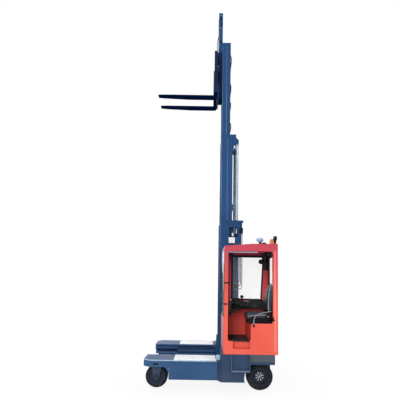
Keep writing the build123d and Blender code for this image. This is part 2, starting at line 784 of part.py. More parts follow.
with BuildPart() as pod:
    bar((cab_front_x + cab_wall, cab_front_x + cab_wall + pod_length),
        (inside_y[0] + pod_inset, inside_y[0] + pod_inset + pod_width), pod_z)
finish(pod, "key_pod")

wheel_plane = Plane(origin=(wheel_x, wheel_y, wheel_z), x_dir=(0, 1, 0), z_dir=wheel_normal)
with BuildPart() as column:
    with BuildSketch(wheel_plane):
        Circle(45)
    extrude(amount=-30)
    slab([(cab_front_x + cab_wall, wheel_z - 152), (wheel_x - 26, wheel_z - 18),
          (wheel_x + 22, wheel_z - 28), (cab_front_x + cab_wall, wheel_z - 222)],
         (wheel_y - 25, wheel_y + 25))
finish(column, "steering_column")

with BuildPart() as steering_wheel:
    with BuildSketch(wheel_plane.offset(0.5)):
        Circle(42)
        for turn in (90, 210, 330):
            with Locations(Rotation(0, 0, turn)):
                Rectangle(wheel_rim + 3, 22, align=(Align.MIN, Align.CENTER))
    extrude(amount=12)
    with Locations(wheel_plane.offset(12)):
        Torus(wheel_rim, wheel_grip)
finish(steering_wheel, "steering_wheel")

with BuildPart() as grab:
    disc_z(grab_x, inside_y[0] + grab_inset, grab_z, grab_radius)
    for z in (grab_z[0] + 24, sum(grab_z) / 2 - 24, grab_z[1] - 21):
        bar((grab_x - grab_radius, grab_x + grab_radius), (inside_y[0], inside_y[0] + grab_inset),
            (z - 8, z + 8))
finish(grab, "grab_rail")

with BuildPart() as beacon:
    disc_z(roof_lamp_x, cab_out + beacon_inset, (cab_front_top - 4, cab_front_top + 26), 34)
    disc_z(roof_lamp_x, cab_out + beacon_inset, (cab_front_top + 26, roof_lamp_z), 28)
finish(beacon, "beacon")

with BuildPart() as work_lamp:
    disc_x((roof_lamp_x, roof_lamp_x + 50), cab_out + lamp_inset, roof_lamp_z, lamp_radius)
    disc_z(roof_lamp_x + 26, cab_out + lamp_inset, (cab_front_top - 4, roof_lamp_z - 30), 8)
finish(work_lamp, "work_lamp")

# Stirrup step under the cab door
step_x = (cab_front_x + step_start, cab_front_x + step_start + step_length)
step_y = (cab_out - proud, cab_out)
with BuildPart() as step:
    for edge in (step_x[0], step_x[1] - step_side):
        bar((edge, edge + step_side), step_y, (step_low, frame_top))
    bar(step_x, step_y, (step_low, step_low + step_plate))
    bar(step_x, (cab_out - step_side, cab_out), (step_low, frame_top))
finish(step, "step")

# Battery with its hood and side door, and the cover behind the mast
with BuildPart() as battery:
    bar((cab_front_x + battery_margin, rear_x - battery_margin),
        (hood_in + battery_margin, body_half - battery_margin), (frame_top, frame_top + battery_height))
finish(battery, "battery")

with BuildPart() as hood:
    bar((cab_front_x, rear_x), (hood_in, body_half), (frame_top, hood_top))
    bar((cab_front_x + hood_wall, rear_x - hood_wall), (hood_in + hood_wall, body_half - hood_wall),
        (frame_top, hood_top - hood_wall), mode=Mode.SUBTRACT)
finish(hood, "battery_hood")

with BuildPart() as side_door:
    bar((cab_front_x + door_margin, rear_x - door_margin), (body_half, body_half + proud),
        (frame_top + door_sill, hood_top - 2 * door_sill))
finish(side_door, "battery_door")

cover_y = (cab_in + cover_gap, hood_in - cover_gap)
with BuildPart() as rear_cover:
    bar((beam_front_x, rear_x), cover_y, (frame_top, hood_top))
    bar((beam_front_x + hood_wall, rear_x - hood_wall), (cover_y[0] + hood_wall, cover_y[1] - hood_wall),
        (frame_top, hood_top - hood_wall), mode=Mode.SUBTRACT)
finish(rear_cover, "rear_cover")
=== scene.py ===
from math import cos, pi, radians, sin

import bmesh
import bpy
from mathutils import Matrix, Vector
from mathutils.bvhtree import BVHTree


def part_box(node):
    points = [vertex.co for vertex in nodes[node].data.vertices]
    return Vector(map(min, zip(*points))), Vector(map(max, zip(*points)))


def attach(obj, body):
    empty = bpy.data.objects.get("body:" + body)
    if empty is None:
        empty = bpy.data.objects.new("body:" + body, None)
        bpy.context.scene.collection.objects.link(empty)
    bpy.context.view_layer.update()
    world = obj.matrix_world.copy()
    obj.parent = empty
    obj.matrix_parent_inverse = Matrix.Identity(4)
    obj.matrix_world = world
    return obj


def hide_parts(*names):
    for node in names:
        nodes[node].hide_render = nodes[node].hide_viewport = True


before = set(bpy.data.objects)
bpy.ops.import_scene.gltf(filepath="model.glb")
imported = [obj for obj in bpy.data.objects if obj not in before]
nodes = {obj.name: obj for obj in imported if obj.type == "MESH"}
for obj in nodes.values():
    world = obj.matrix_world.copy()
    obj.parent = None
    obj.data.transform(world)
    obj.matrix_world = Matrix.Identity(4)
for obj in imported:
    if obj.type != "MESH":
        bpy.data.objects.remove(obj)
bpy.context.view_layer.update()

scene = bpy.context.scene
scene.view_settings.view_transform = "Standard"


# Studio: a plain pale floor under soft light, white behind the truck.
# The world and the floor show as white to the camera and in gloss, and light the truck evenly.
class Wire:
    """One output in a node tree. Arithmetic on wires adds the Math nodes it needs."""

    def __init__(self, tree, socket=None):
        self.tree = tree
        self.socket = socket

    def node(self, kind, inputs=None, output=0, **settings):
        """Add any node: its settings first, then the values or wires of its sockets."""
        made = self.tree.nodes.new(kind)
        for name, value in settings.items():
            setattr(made, name, value)
        for key, value in (inputs or {}).items():
            if isinstance(value, Wire):
                self.tree.links.new(value.socket, made.inputs[key])
            else:
                made.inputs[key].default_value = value
        return Wire(self.tree, made.outputs[output])

    def math(self, operation, *values, clamp=False):
        return self.node("ShaderNodeMath", dict(enumerate(values)), operation=operation, use_clamp=clamp)

    def blend(self, other, factor):
        """This colour mixed with another one."""
        return self.node("ShaderNodeMix", {0: factor, 6: self, 7: other}, output=2, data_type="RGBA")

    def __add__(self, other):
        return self.math("ADD", self, other)

    def __sub__(self, other):
        return self.math("SUBTRACT", self, other)

    def __rsub__(self, other):
        return self.math("SUBTRACT", other, self)

    def __mul__(self, other):
        return self.math("MULTIPLY", self, other)

    def clamped(self):
        return self.math("ADD", self, 0.0, clamp=True)

    __radd__ = __add__
    __rmul__ = __mul__


def shown_white(tree):
    """How much a ray is one that should meet plain white."""
    camera_ray = Wire(tree).node("ShaderNodeLightPath", output="Is Camera Ray")
    rays = camera_ray.socket.node.outputs
    glossy, through = (Wire(tree, rays[name]) for name in ("Is Glossy Ray", "Is Transmission Ray"))
    return (camera_ray + glossy + through).clamped()


ambient = 0.62
world = bpy.data.worlds.new("studio")
scene.world = world
world.use_nodes = True
sky = world.node_tree
sky.nodes.clear()
sky_strength = shown_white(sky) * (1 - ambient) + ambient
backdrop = sky_strength.node("ShaderNodeBackground", {"Color": (1, 1, 1, 1), "Strength": sky_strength})
sky.links.new(backdrop.socket, sky.nodes.new("ShaderNodeOutputWorld").inputs["Surface"])

floor_mesh = bpy.data.meshes.new("floor")
floor_shape = bmesh.new()
bmesh.ops.create_grid(floor_shape, x_segments=1, y_segments=1, size=60)
floor_shape.to_mesh(floor_mesh)
floor_shape.free()
floor = bpy.data.objects.new("floor", floor_mesh)
scene.collection.objects.link(floor)
pale_floor = bpy.data.materials.new("pale_floor")
pale_floor.use_nodes = True
tree = pale_floor.node_tree
tree.nodes.clear()
shadow_share = 0.16
floor_glow = 1.045
matt = Wire(tree).node("ShaderNodeBsdfDiffuse", {"Color": (0.92, 0.92, 0.92, 1)})
glow = Wire(tree).node("ShaderNodeEmission", {"Color": (1, 1, 1, 1), "Strength": floor_glow})
mixed = glow.node("ShaderNodeMixShader", {0: shown_white(tree) * (1 - shadow_share), 1: matt, 2: glow})
tree.links.new(mixed.socket, tree.nodes.new("ShaderNodeOutputMaterial").inputs["Surface"])
floor_mesh.materials.append(pale_floor)

for name, strength, spread, aim in (
    # spread is the width of the sun's disc, aim the way that its light travels
    ("key", 1.35, 0.5, (0.25, 1.0, -0.32)),
    ("fill", 0.35, 0.9, (-0.8, -0.1, -0.5)),
    ("back", 0.9, 0.9, (0.1, -1.0, -0.4)),
):
    lamp = bpy.data.lights.new(name, "SUN")
    lamp.energy = strength
    lamp.angle = spread
    sun = bpy.data.objects.new(name, lamp)
    sun.matrix_world = Vector(aim).to_track_quat("-Z", "Y").to_matrix().to_4x4()
    scene.collection.objects.link(sun)

# Camera at the photograph's viewpoint: level with the cab, tipped up a little and rolled a degree.
# Its place, lens and shift were fitted to points on the truck in the photograph.
focal_px = 433.33
frame_px = 400
camera_data = bpy.data.cameras.new("camera")
camera_data.sensor_width = 36
camera_data.lens = camera_data.sensor_width * focal_px / frame_px
camera_data.shift_x = -0.0082
camera_data.shift_y = 0.0875
camera_pitch = 0.11225
camera_roll = 0.01624
camera_place = (-0.132, -7.966, 1.6045)
camera = bpy.data.objects.new("camera", camera_data)
camera.matrix_world = (Matrix.Translation(camera_place)
                       @ Matrix.Rotation(pi / 2 + camera_pitch, 4, "X")
                       @ Matrix.Rotation(camera_roll, 4, "Z"))
scene.collection.objects.link(camera)
scene.camera = camera


# Painted steel of the frame, legs and mast: slate blue powder coat over plate and channel.
# It has a fine orange peel, a slow change of shade and a film of dust low down.
def colour_of(red, green, blue):
    """A display colour, 0 to 255 a channel, as the linear one that a shader takes."""
    channels = [value / 255 for value in (red, green, blue)]
    return (*[c / 12.92 if c <= 0.04045 else ((c + 0.055) / 1.055) ** 2.4 for c in channels], 1)


def surface(name, dark, light, rough=(0.3, 0.45), grain=(420, 0.00004), cloud=1.6, stretch=(1, 1, 1),
            metallic=0.0, coat=0.0, gloss=0.2, dust=0.0, dust_top=0.6, height_shade=None):
    """A solid finish that wanders between two display colours, with a fine grain in its bump."""
    made = bpy.data.materials.new(name)
    made.use_nodes = True
    tree = made.node_tree
    tree.nodes.clear()
    place = Wire(tree).node("ShaderNodeTexCoord", output="Object")
    drawn = place.node("ShaderNodeMapping", {"Vector": place, "Scale": stretch})
    broad = place.node("ShaderNodeTexNoise", {"Vector": drawn, "Scale": cloud, "Detail": 4.0})
    fine = place.node("ShaderNodeTexNoise", {"Vector": drawn, "Scale": grain[0], "Detail": 2.0})
    spread = broad.node("ShaderNodeMapRange", {"Value": broad, "From Min": 0.3, "From Max": 0.7})
    shade = spread.node("ShaderNodeMix", {0: spread, 6: colour_of(*dark), 7: colour_of(*light)}, output=2,
                        data_type="RGBA")
    roughness = spread * (rough[1] - rough[0]) + rough[0]
    height = place.node("ShaderNodeSeparateXYZ", {0: place}, output="Z")
    # height_shade blends in a second colour between two heights: painted shade or painted light that changes
    # with height.
    if height_shade:
        upper, shade_low, shade_high = height_shade
        share = ((height - shade_low) * (1 / (shade_high - shade_low))).clamped()
        shade = shade.blend(colour_of(*upper), share)
    if dust:
        film = ((1 - height * (1 / dust_top)).clamped() * spread * dust).clamped()
        shade = shade.blend(colour_of(150, 148, 140), film)
        roughness = (roughness + film * 0.5).clamped()
    bumps = fine.node("ShaderNodeBump", {"Height": fine, "Strength": 1.0, "Distance": grain[1]},
                      output="Normal")
    skin = shade.node("ShaderNodeBsdfPrincipled", {
        "Base Color": shade, "Roughness": roughness, "Metallic": metallic, "Specular IOR Level": gloss,
        "Coat Weight": coat, "Coat Roughness": 0.12, "Normal": bumps})
    tree.links.new(skin.socket, tree.nodes.new("ShaderNodeOutputMaterial").inputs["Surface"])
    return made


def coat_nodes(material, *names):
    """Give CAD nodes their finish."""
    for name in names:
        mesh = nodes[name].data
        mesh.materials.clear()
        mesh.materials.append(material)


def piece(name, shape, material, body="chassis", smooth=True):
    """Turn a bmesh into a piece of the truck that rides on a body."""
    mesh = bpy.data.meshes.new(name)
    shape.to_mesh(mesh)
    shape.free()
    if smooth:
        mesh.shade_smooth()
        mesh.set_sharp_from_angle(angle=radians(35))
    mesh.materials.append(material)
    made = bpy.data.objects.new(name, mesh)
    scene.collection.objects.link(made)
    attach(made, body)
    return made


def block(shape, low, high, bevel=0.0, segments=2):
    """Add a box between two corners, with its edges rounded."""
    verts = bmesh.ops.create_cube(shape, size=1)["verts"]
    size = [abs(b - a) for a, b in zip(low, high)]
    bmesh.ops.scale(shape, vec=size, verts=verts)
    bmesh.ops.translate(shape, vec=[(a + b) / 2 for a, b in zip(low, high)], verts=verts)
    if bevel:
        edges = list(dict.fromkeys(edge for vert in verts for edge in vert.link_edges))
        bmesh.ops.bevel(shape, geom=edges, offset=bevel, offset_type="OFFSET", segments=segments,
                        profile=0.5, affect="EDGES", material=-1)


def bar(shape, start, end, radius, sides=20, tip=None):
    """Add a round bar, or a cone, from one point to another."""
    start, end = Vector(start), Vector(end)
    along = end - start
    place = Matrix.Translation((start + end) / 2) @ along.to_track_quat("Z", "Y").to_matrix().to_4x4()
    bmesh.ops.create_cone(shape, cap_ends=True, segments=sides, radius1=radius,
                          radius2=radius if tip is None else tip, depth=along.length, matrix=place)


def bolt(shape, point, outward, size):
    """Add a hexagon head on its washer, standing on a face."""
    point, outward = Vector(point), Vector(outward)
    bar(shape, point - outward * size * 0.2, point + outward * size * 0.18, size * 0.78, 16)
    bar(shape, point, point + outward * size * 0.62, size * 0.56, 6)


slate = (54, 84, 124)
slate_light = (62, 94, 136)
frame_paint = surface("frame_paint", slate, slate_light, rough=(0.42, 0.55), gloss=0.04, dust=0.03)
mast_paint = surface("mast_paint", (30, 66, 108), (38, 78, 124), rough=(0.35, 0.5), gloss=0.08)
navy_paint = surface("navy_paint", (12, 28, 56), (18, 38, 70), rough=(0.4, 0.55), gloss=0.08)
black_plastic = surface("black_plastic", (24, 25, 28), (34, 35, 39), rough=(0.45, 0.6), grain=(900, 0.00012))
bolt_steel = surface("bolt_steel", (150, 152, 155), (195, 197, 200), rough=(0.25, 0.4), cloud=40,
                     metallic=0.9)

# Base legs: welded box beams with a hood over each front wheel and a white wear plate on top.
# Bright lines along their top edges are painted highlights, where the edges catch the light.
coat_nodes(frame_paint, "leg_left", "leg_right")
wear_plate = surface("wear_plate", (232, 244, 250), (242, 250, 255), rough=(0.35, 0.6), grain=(260, 0.00006),
                     cloud=5)
coat_nodes(wear_plate, "wear_plates")
# A pale blue paint: painted highlights on the leg edges, and the load stop's own pale colour.
pale_steel_and_edge_highlight = surface("pale_steel_and_edge_highlight", (150, 180, 205), (190, 214, 232), rough=(0.3, 0.5), cloud=9)
rubber_black = surface("rubber_black", (20, 21, 23), (30, 31, 34), rough=(0.6, 0.8), grain=(500, 0.0001))
leg_box = {side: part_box(f"leg_{side}") for side in ("left", "right")}
leg_top = leg_box["left"][1][2]
plate_low, plate_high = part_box("wear_plates")
nose_corner = 0.1
beam_start = -0.6
slot_x, slot_z = (-0.866, -0.786), (0.363, 0.393)
nose_bolts = ((-0.6235, 0.3055), (-0.6235, 0.252))
rail_heights = (0.282, 0.368)
for side, out in (("left", -1), ("right", 1)):
    low, high = leg_box[side]
    outer, inner = (low[1], high[1]) if out < 0 else (high[1], low[1])
    outer_edge, inner_edge = outer - out * 0.004, inner + out * 0.004
    edge_z = leg_top - 0.003
    nose_x, tail_x = low[0] + 0.006, high[0] - 0.002
    edges = bmesh.new()
    bar(edges, (low[0] + nose_corner, outer_edge, edge_z), (tail_x, outer_edge, edge_z), 0.008, 12)
    bar(edges, (low[0] + 0.007, outer - out * nose_corner, edge_z),
        (low[0] + nose_corner, outer_edge, edge_z), 0.007, 12)
    bar(edges, (nose_x, inner_edge, edge_z), (tail_x, inner_edge, edge_z), 0.004, 12)
    bar(edges, (nose_x, inner + out * 0.01, leg_top - 0.004), (nose_x, outer - out * 0.102, leg_top - 0.004),
        0.0045, 12)
    piece(f"leg_edge_highlights_{side}", edges, pale_steel_and_edge_highlight)

    # A dark plate standing on the side: painted shade for the lifting slot's recess.
    slots = bmesh.new()
    block(slots, (slot_x[0], outer_edge, slot_z[0]), (slot_x[1], outer + out * 0.0012, slot_z[1]), 0.001)
    piece(f"leg_slot_shade_{side}", slots, rubber_black)

    bolts = bmesh.new()
    for x, z in nose_bolts:
        bolt(bolts, (x, outer - out * 0.002, z), (0, out, 0), 0.01)
    for x in (plate_low[0] + 0.03, (plate_low[0] + plate_high[0]) / 2, plate_high[0] - 0.03):
        for y in (inner + out * 0.05, outer - out * 0.05):
            bar(bolts, (x, y, plate_high[2] - 0.004), (x, y, plate_high[2] + 0.001), 0.011, 16)
    piece(f"leg_bolts_{side}", bolts, bolt_steel)

    seams = bmesh.new()
    seam_y = outer + out * 0.0005
    for z in (low[2] + 0.012, leg_top - 0.05):
        bar(seams, (beam_start, seam_y, z), (high[0], seam_y, z), 0.0022, 8)
    piece(f"leg_seams_{side}", seams, frame_paint)

    guide = bmesh.new()
    for z in rail_heights:
        block(guide, (beam_start, inner, z - 0.008), (0.16, inner - out * 0.009, z + 0.008), 0.002)
    piece(f"reach_rail_{side}", guide, navy_paint)
    # Dark strips on the inner face: painted shade for the grooves that the reach carriage runs in.
    groove_shade = bmesh.new()
    for end, low_z, high_z in ((-0.625, 0.295, 0.36), (0.1, 0.385, 0.41)):
        block(groove_shade, (low[0] + 0.03, inner, low_z), (end, inner - out * 0.002, high_z), 0.001)
    piece(f"rail_groove_shade_{side}", groove_shade, navy_paint)

stops = bmesh.new()
outer = leg_box["left"][0][1]
stop_front, stop_foot = 0.098, leg_top - 0.001
for y in (outer + 0.09, outer + 0.16):
    block(stops, (stop_front, y - 0.006, stop_foot), (0.16, y + 0.006, leg_top + 0.068), 0.004)
block(stops, (stop_front, outer + 0.17, stop_foot), (0.112, outer + 0.08, leg_top + 0.05), 0.004)
bar(stops, (0.13, outer + 0.175, leg_top + 0.036), (0.13, outer + 0.075, leg_top + 0.036), 0.011)
piece("load_stop", stops, pale_steel_and_edge_highlight)

# Rear frame: side boxes and a cross beam of thick plate, with grey skirts screwed to their sides.
# A tail lamp and a turn lamp stand at each end of the rear face.
chassis_paint = surface("chassis_paint", (40, 60, 88), (48, 70, 100), rough=(0.4, 0.55), gloss=0.1, dust=0.12)
coat_nodes(chassis_paint, "frame_side_left", "frame_side_right", "rear_beam")
skirt_grey = surface("skirt_grey", (74, 80, 90), (88, 94, 104), rough=(0.45, 0.6), gloss=0.1, dust=0.1)
red_lens = surface("red_lens", (150, 12, 14), (190, 20, 20), rough=(0.08, 0.14), coat=0.6)
amber_lens = surface("amber_lens", (240, 125, 30), (250, 150, 50), rough=(0.1, 0.2), coat=0.6)
lamp_low, lamp_high = 0.455, 0.52
for side, out in (("left", -1), ("right", 1)):
    low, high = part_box(f"frame_side_{side}")
    outer = low[1] if out < 0 else high[1]
    seat_x, lens_x = high[0] - 0.002, high[0] + 0.014
    lamps = bmesh.new()
    block(lamps, (seat_x, outer - out * 0.07, lamp_low), (lens_x, outer - out * 0.2, lamp_high), 0.008)
    piece(f"tail_lamp_{side}", lamps, red_lens)
    skirt = bmesh.new()
    block(skirt, (0.602, outer - out * 0.001, 0.452), (seat_x, outer + out * 0.0022, 0.557), 0.001)
    for x in (0.62, 0.78, high[0] - 0.02):
        for z in (0.468, 0.542):
            bar(skirt, (x, outer, z), (x, outer + out * 0.005, z), 0.007, 12, tip=0.005)
    piece(f"frame_skirt_{side}", skirt, skirt_grey)
    blinker = bmesh.new()
    block(blinker, (seat_x, outer - out * 0.21, lamp_low), (lens_x, outer - out * 0.27, lamp_high), 0.008)
    piece(f"turn_lamp_{side}", blinker, amber_lens)

# Solid tyres, pressed on: black rubber with a square shoulder and a moulding line on each wall.
# The front ones run in yokes under the leg noses, the rear ones on drive legs under the body.
tyre_rubber = surface("tyre_rubber", (16, 20, 27), (26, 31, 39), rough=(0.6, 0.8), grain=(300, 0.00015),
                      cloud=12, gloss=0.1, dust=0.12, dust_top=0.5)
rim_paint = surface("rim_paint", (26, 34, 46), (38, 48, 62), rough=(0.4, 0.55), cloud=8)
yoke_paint = surface("yoke_paint", (36, 54, 80), (46, 66, 94), rough=(0.4, 0.55), dust=0.1)
hub_silver = surface("hub_silver", (150, 154, 160), (190, 194, 198), rough=(0.25, 0.4), cloud=30,
                     metallic=0.7)


def lathe(shape, outline, centre, turns=72, upright=False):
    """Spin an outline of (radius, along the axis) points about an axle, or about an upright axis."""
    axis = Vector((0, 0, 1) if upright else (0, 1, 0))
    verts = [shape.verts.new(Vector(centre) + Vector((radius, 0, 0)) + axis * along)
             for radius, along in outline]
    edges = [shape.edges.new(pair) for pair in zip(verts, verts[1:] + verts[:1])]
    bmesh.ops.spin(shape, geom=verts + edges, cent=centre, axis=axis, angle=2 * pi, steps=turns,
                   use_merge=True, use_duplicate=False)
    bmesh.ops.remove_doubles(shape, verts=shape.verts, dist=0.00001)
    bmesh.ops.recalc_face_normals(shape, faces=shape.faces)


WHEELS = (
    # name, tyre depth, hub radius, number of studs, face set in from the tyre's outer wall
    ("front_left", 0.042, 0.046, 6, 0.03),
    ("front_right", 0.042, 0.046, 6, 0.03),
    ("rear_left", 0.066, 0.08, 8, 0.07),
    ("rear_right", 0.066, 0.08, 8, 0.07),
)
wheel_at = {}
for end, depth, hub, studs, dish in WHEELS:
    low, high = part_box(f"tyre_{end}")
    out = -1 if end.endswith("left") else 1
    rear = end.startswith("rear")
    radius = (high[2] - low[2]) / 2
    centre = Vector([(a + b) / 2 for a, b in zip(low, high)])
    half = (high[1] - low[1]) / 2
    wheel_at[end] = (centre, radius, half)
    rim = radius - depth
    tyre = bmesh.new()
    outline = [(rim, -half + 0.004), (rim + 0.006, -half), (rim + 0.014, -half), (rim + 0.017, -half + 0.002),
               (rim + 0.02, -half), (radius - 0.014, -half + 0.002), (radius - 0.005, -half + 0.006),
               (radius, -half + 0.014)]
    if rear:
        outline += [(radius, -half * 0.34), (radius - 0.002, -half * 0.3), (radius - 0.002, half * 0.3),
                    (radius, half * 0.34)]
    outline += [(r, -a) for r, a in reversed(outline[:8])]
    lathe(tyre, outline, centre)
    made = piece(f"solid_tyre_{end}", tyre, tyre_rubber, f"wheel_{end}")
    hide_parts(f"tyre_{end}")

    trim = bmesh.new()
    face = half - 0.003
    for way in ((out,) if rear else (out, -out)):
        for r, a in ((rim - 0.004, face), (rim - 0.016, face - 0.006)):
            lathe(trim, [(r - 0.003, way * a), (r, way * (a + 0.003)), (r + 0.003, way * a),
                         (r, way * (a - 0.003))], centre)
    # On the front wheels the rings use the lighter yoke paint as a painted highlight. The rear rings keep the
    # rim's colour.
    trim_colour_front_highlight = rim_paint if rear else yoke_paint
    piece(f"rim_edge_{end}", trim, trim_colour_front_highlight, f"wheel_{end}")

    hub_parts = bmesh.new()
    hub_face = centre.y + out * (half - dish + 0.025 if rear else half - 0.004)
    if rear:
        along = hub_face - centre.y
        inner_along, outer_along = along - out * 0.002, along + out * 0.011
        flange_ring = bmesh.new()
        lathe(flange_ring, [(0.022, inner_along), (0.074, inner_along), (0.074, along + out * 0.008),
                            (0.066, outer_along), (0.022, outer_along)], centre, 48)
        piece(f"hub_flange_{end}", flange_ring, rim_paint, f"wheel_{end}")
        for n in range(studs):
            spoke = Vector((cos(2 * pi * (n + 0.5) / studs), 0, sin(2 * pi * (n + 0.5) / studs)))
            rib = Vector((centre.x, hub_face + out * 0.011, centre.z))
            bar(hub_parts, rib + spoke * 0.024, rib + spoke * 0.066, 0.0055, 8)
    for n in range(studs):
        angle = 2 * pi * (n + 0.5) / studs
        ring = 0.054 if rear else (rim + hub) / 2 - 0.008
        where = Vector((centre.x + ring * cos(angle), hub_face - (0 if rear else out * 0.026),
                        centre.z + ring * sin(angle)))
        size = 0.0105 if rear else 0.0075
        bar(hub_parts, where, where + Vector((0, out * 0.026, 0)), size, 6)
        bar(hub_parts, where + Vector((0, out * 0.02, 0)), where + Vector((0, out * 0.034, 0)), size * 0.5,
            10)
    if rear:
        bar(hub_parts, (centre.x, hub_face, centre.z), (centre.x, hub_face + out * 0.022, centre.z), 0.02,
            32, tip=0.014)
    piece(f"hub_studs_{end}", hub_parts, hub_silver if rear else rim_paint, f"wheel_{end}")
coat_nodes(rim_paint, *[f"rim_{end}" for end, *_ in WHEELS])
coat_nodes(yoke_paint, "front_yoke_left", "front_yoke_right", "drive_unit_left", "drive_unit_right")

# Slewing rings above the wheels: a toothed ring under each crown plate. The front knuckles carry
# bolted axle caps, the rear ones a drive motor with cooling fins on their inner side.
ring_sizes = (("front", "front_yoke", 0.112, 44), ("rear", "drive_unit", 0.15, 60))
for axle, knuckle, ring_radius, teeth in ring_sizes:
    for side, out in (("left", -1), ("right", 1)):
        end, body = f"{axle}_{side}", f"{knuckle}_{side}"
        centre, radius, half = wheel_at[end]
        crown = 2 * radius + 0.008
        ring_middle = Matrix.Translation((centre.x, centre.y, crown + 0.015))
        outwards = Matrix.Translation((ring_radius + 0.001, 0, 0))
        ring = bmesh.new()
        for n in range(teeth):
            turned = Matrix.Rotation(2 * pi * n / teeth, 4, "Z")
            verts = bmesh.ops.create_cube(ring, size=1)["verts"]
            bmesh.ops.scale(ring, vec=(0.008, 0.007, 0.016), verts=verts)
            bmesh.ops.transform(ring, matrix=ring_middle @ turned @ outwards, verts=verts)
        piece(f"ring_teeth_{end}", ring, bolt_steel, body, smooth=False)
        if axle == "front":
            caps = bmesh.new()
            for way in (-1, 1):
                face = centre.y + way * (half + 0.008 + 0.02)
                bar(caps, (centre.x, face - way * 0.002, centre.z), (centre.x, face + way * 0.012, centre.z),
                    0.036, 32, tip=0.032)
                for n in range(4):
                    spoke = Vector((cos(pi / 4 + n * pi / 2), 0, sin(pi / 4 + n * pi / 2)))
                    bolt(caps, Vector((centre.x, face, centre.z)) + spoke * 0.037, (0, way, 0), 0.006)
            piece(f"axle_caps_{end}", caps, rim_paint, body)
            continue
        motor = bmesh.new()
        back = Vector((centre.x, centre.y - out * (half + 0.008 + 0.06), centre.z + 0.03))
        inward = Vector((0, -out, 0))
        bar(motor, back - inward * 0.002, back + inward * 0.055, 0.07, 40)
        for n in range(4):
            fin = back + inward * (0.008 + n * 0.012)
            bar(motor, fin, fin + inward * 0.004, 0.078, 40)
        bar(motor, back + inward * 0.055, back + inward * 0.07, 0.03, 24, tip=0.024)
        piece(f"wheel_motor_{end}", motor, yoke_paint, body)

# Stirrup step under the cab door: a folded plate hung from the frame, its tread ribbed for grip.
# Bars along its sides, a lip at the tread's nose and the tread's ribs are painted lighter as highlights.
step_edge_highlight = surface("step_edge_highlight", (92, 108, 134), (112, 130, 158), rough=(0.4, 0.55), cloud=6)
coat_nodes(chassis_paint, "step")
low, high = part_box("step")
edges = bmesh.new()
for x in (low[0], high[0]):
    bar(edges, (x, low[1] + 0.005, low[2] + 0.01), (x, low[1] + 0.005, high[2]), 0.0045, 12)
block(edges, (low[0] - 0.002, low[1] + 0.0002, low[2] + 0.001),
      (high[0] + 0.002, low[1] + 0.012, low[2] + 0.032), 0.004)
rib_count, rib_z = 9, low[2] + 0.0135
for n in range(rib_count):
    x = low[0] + 0.02 + n * (high[0] - low[0] - 0.04) / (rib_count - 1)
    bar(edges, (x, low[1] + 0.008, rib_z), (x, high[1] - 0.008, rib_z), 0.003, 8)
piece("step_edges", edges, step_edge_highlight)

# Mast: three nested stages of rolled channel, tied by cross plates welded behind them.
# The faces that the rollers run on are bare and greased. Pale lines down the channels' front folds and along
# their sides are painted highlights, and dark bars down their corners are painted shade.
coat_nodes(mast_paint, "mast_outer", "mast_middle", "mast_inner", "lift_barrels", "free_lift_barrel",
           "reach_frame", "reach_barrel")
carriage_paint = surface("carriage_paint", (8, 28, 62), (16, 42, 80), rough=(0.35, 0.5), cloud=3, gloss=0.06)
coat_nodes(carriage_paint, "fork_carriage", "load_guard")
coat_nodes(mast_paint, "carriage_tower")
rod_chrome = surface("rod_chrome", (134, 152, 168), (150, 166, 180), rough=(0.22, 0.3), cloud=12,
                     metallic=0.55)
chain_oil = surface("chain_oil", (52, 54, 58), (84, 86, 90), rough=(0.35, 0.5), cloud=60, metallic=0.6)
coat_nodes(rod_chrome, "lift_rods", "reach_rod", "free_lift_head")
run_steel = surface("run_steel", (96, 112, 134), (130, 144, 160), rough=(0.3, 0.45), stretch=(1, 1, 0.05),
                    cloud=30, metallic=0.5)
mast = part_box("mast_outer")[0][0]
STAGES = (
    # node, body, half width, front and rear of the channels
    ("mast_outer", "reach_carriage", 0.380, mast, mast + 0.240),
    ("mast_middle", "mast_middle", 0.314, mast + 0.012, mast + 0.214),
    ("mast_inner", "mast_inner", 0.248, mast + 0.016, mast + 0.167),
)
flange = 0.018
# A lighter paint for painted highlights on folds and edges.
fold_highlight_paint = surface("fold_highlight_paint", (84, 112, 150), (112, 140, 176), rough=(0.3, 0.45), stretch=(1, 1, 0.05),
                      cloud=20, metallic=0.3)
for node, body, half, front, rear in STAGES:
    low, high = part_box(node)
    strips = bmesh.new()
    corners = bmesh.new()
    lines = bmesh.new()
    foot = 2.22 if node == "mast_outer" else low[2] + 0.05
    for out in (-1, 1):
        for x, inward in ((front + flange, 0.0012), (rear - flange, -0.0012)):
            block(strips, (x, out * (half - 0.056), low[2] + 0.01),
                  (x + inward, out * (half - 0.02), high[2] - 0.06))
        # Dark bars down the corners: painted shade on the folds.
        corner_y = out * (half - 0.003)
        for x in (front + 0.003, rear - 0.003):
            bar(corners, (x, corner_y, low[2] + 0.02), (x, corner_y, high[2] - 0.02), 0.0036, 8)
        # Pale lines down the side: painted highlights.
        face = out * (half + 0.0011)
        line_x = front + (rear - front) * 0.58 - 0.010
        if node != "mast_outer":
            block(lines, (line_x, out * half, foot), (line_x + 0.0055, face, high[2] - 0.07), 0.0004)
        block(lines, (front + 0.002, out * half, foot), (front + 0.007, face, high[2] - 0.07), 0.0004)
    piece(f"run_strips_{node}", strips, run_steel, body, smooth=False)
    piece(f"channel_corner_shade_{node}", corners, navy_paint, body)
    piece(f"channel_highlights_{node}", lines, fold_highlight_paint, body)

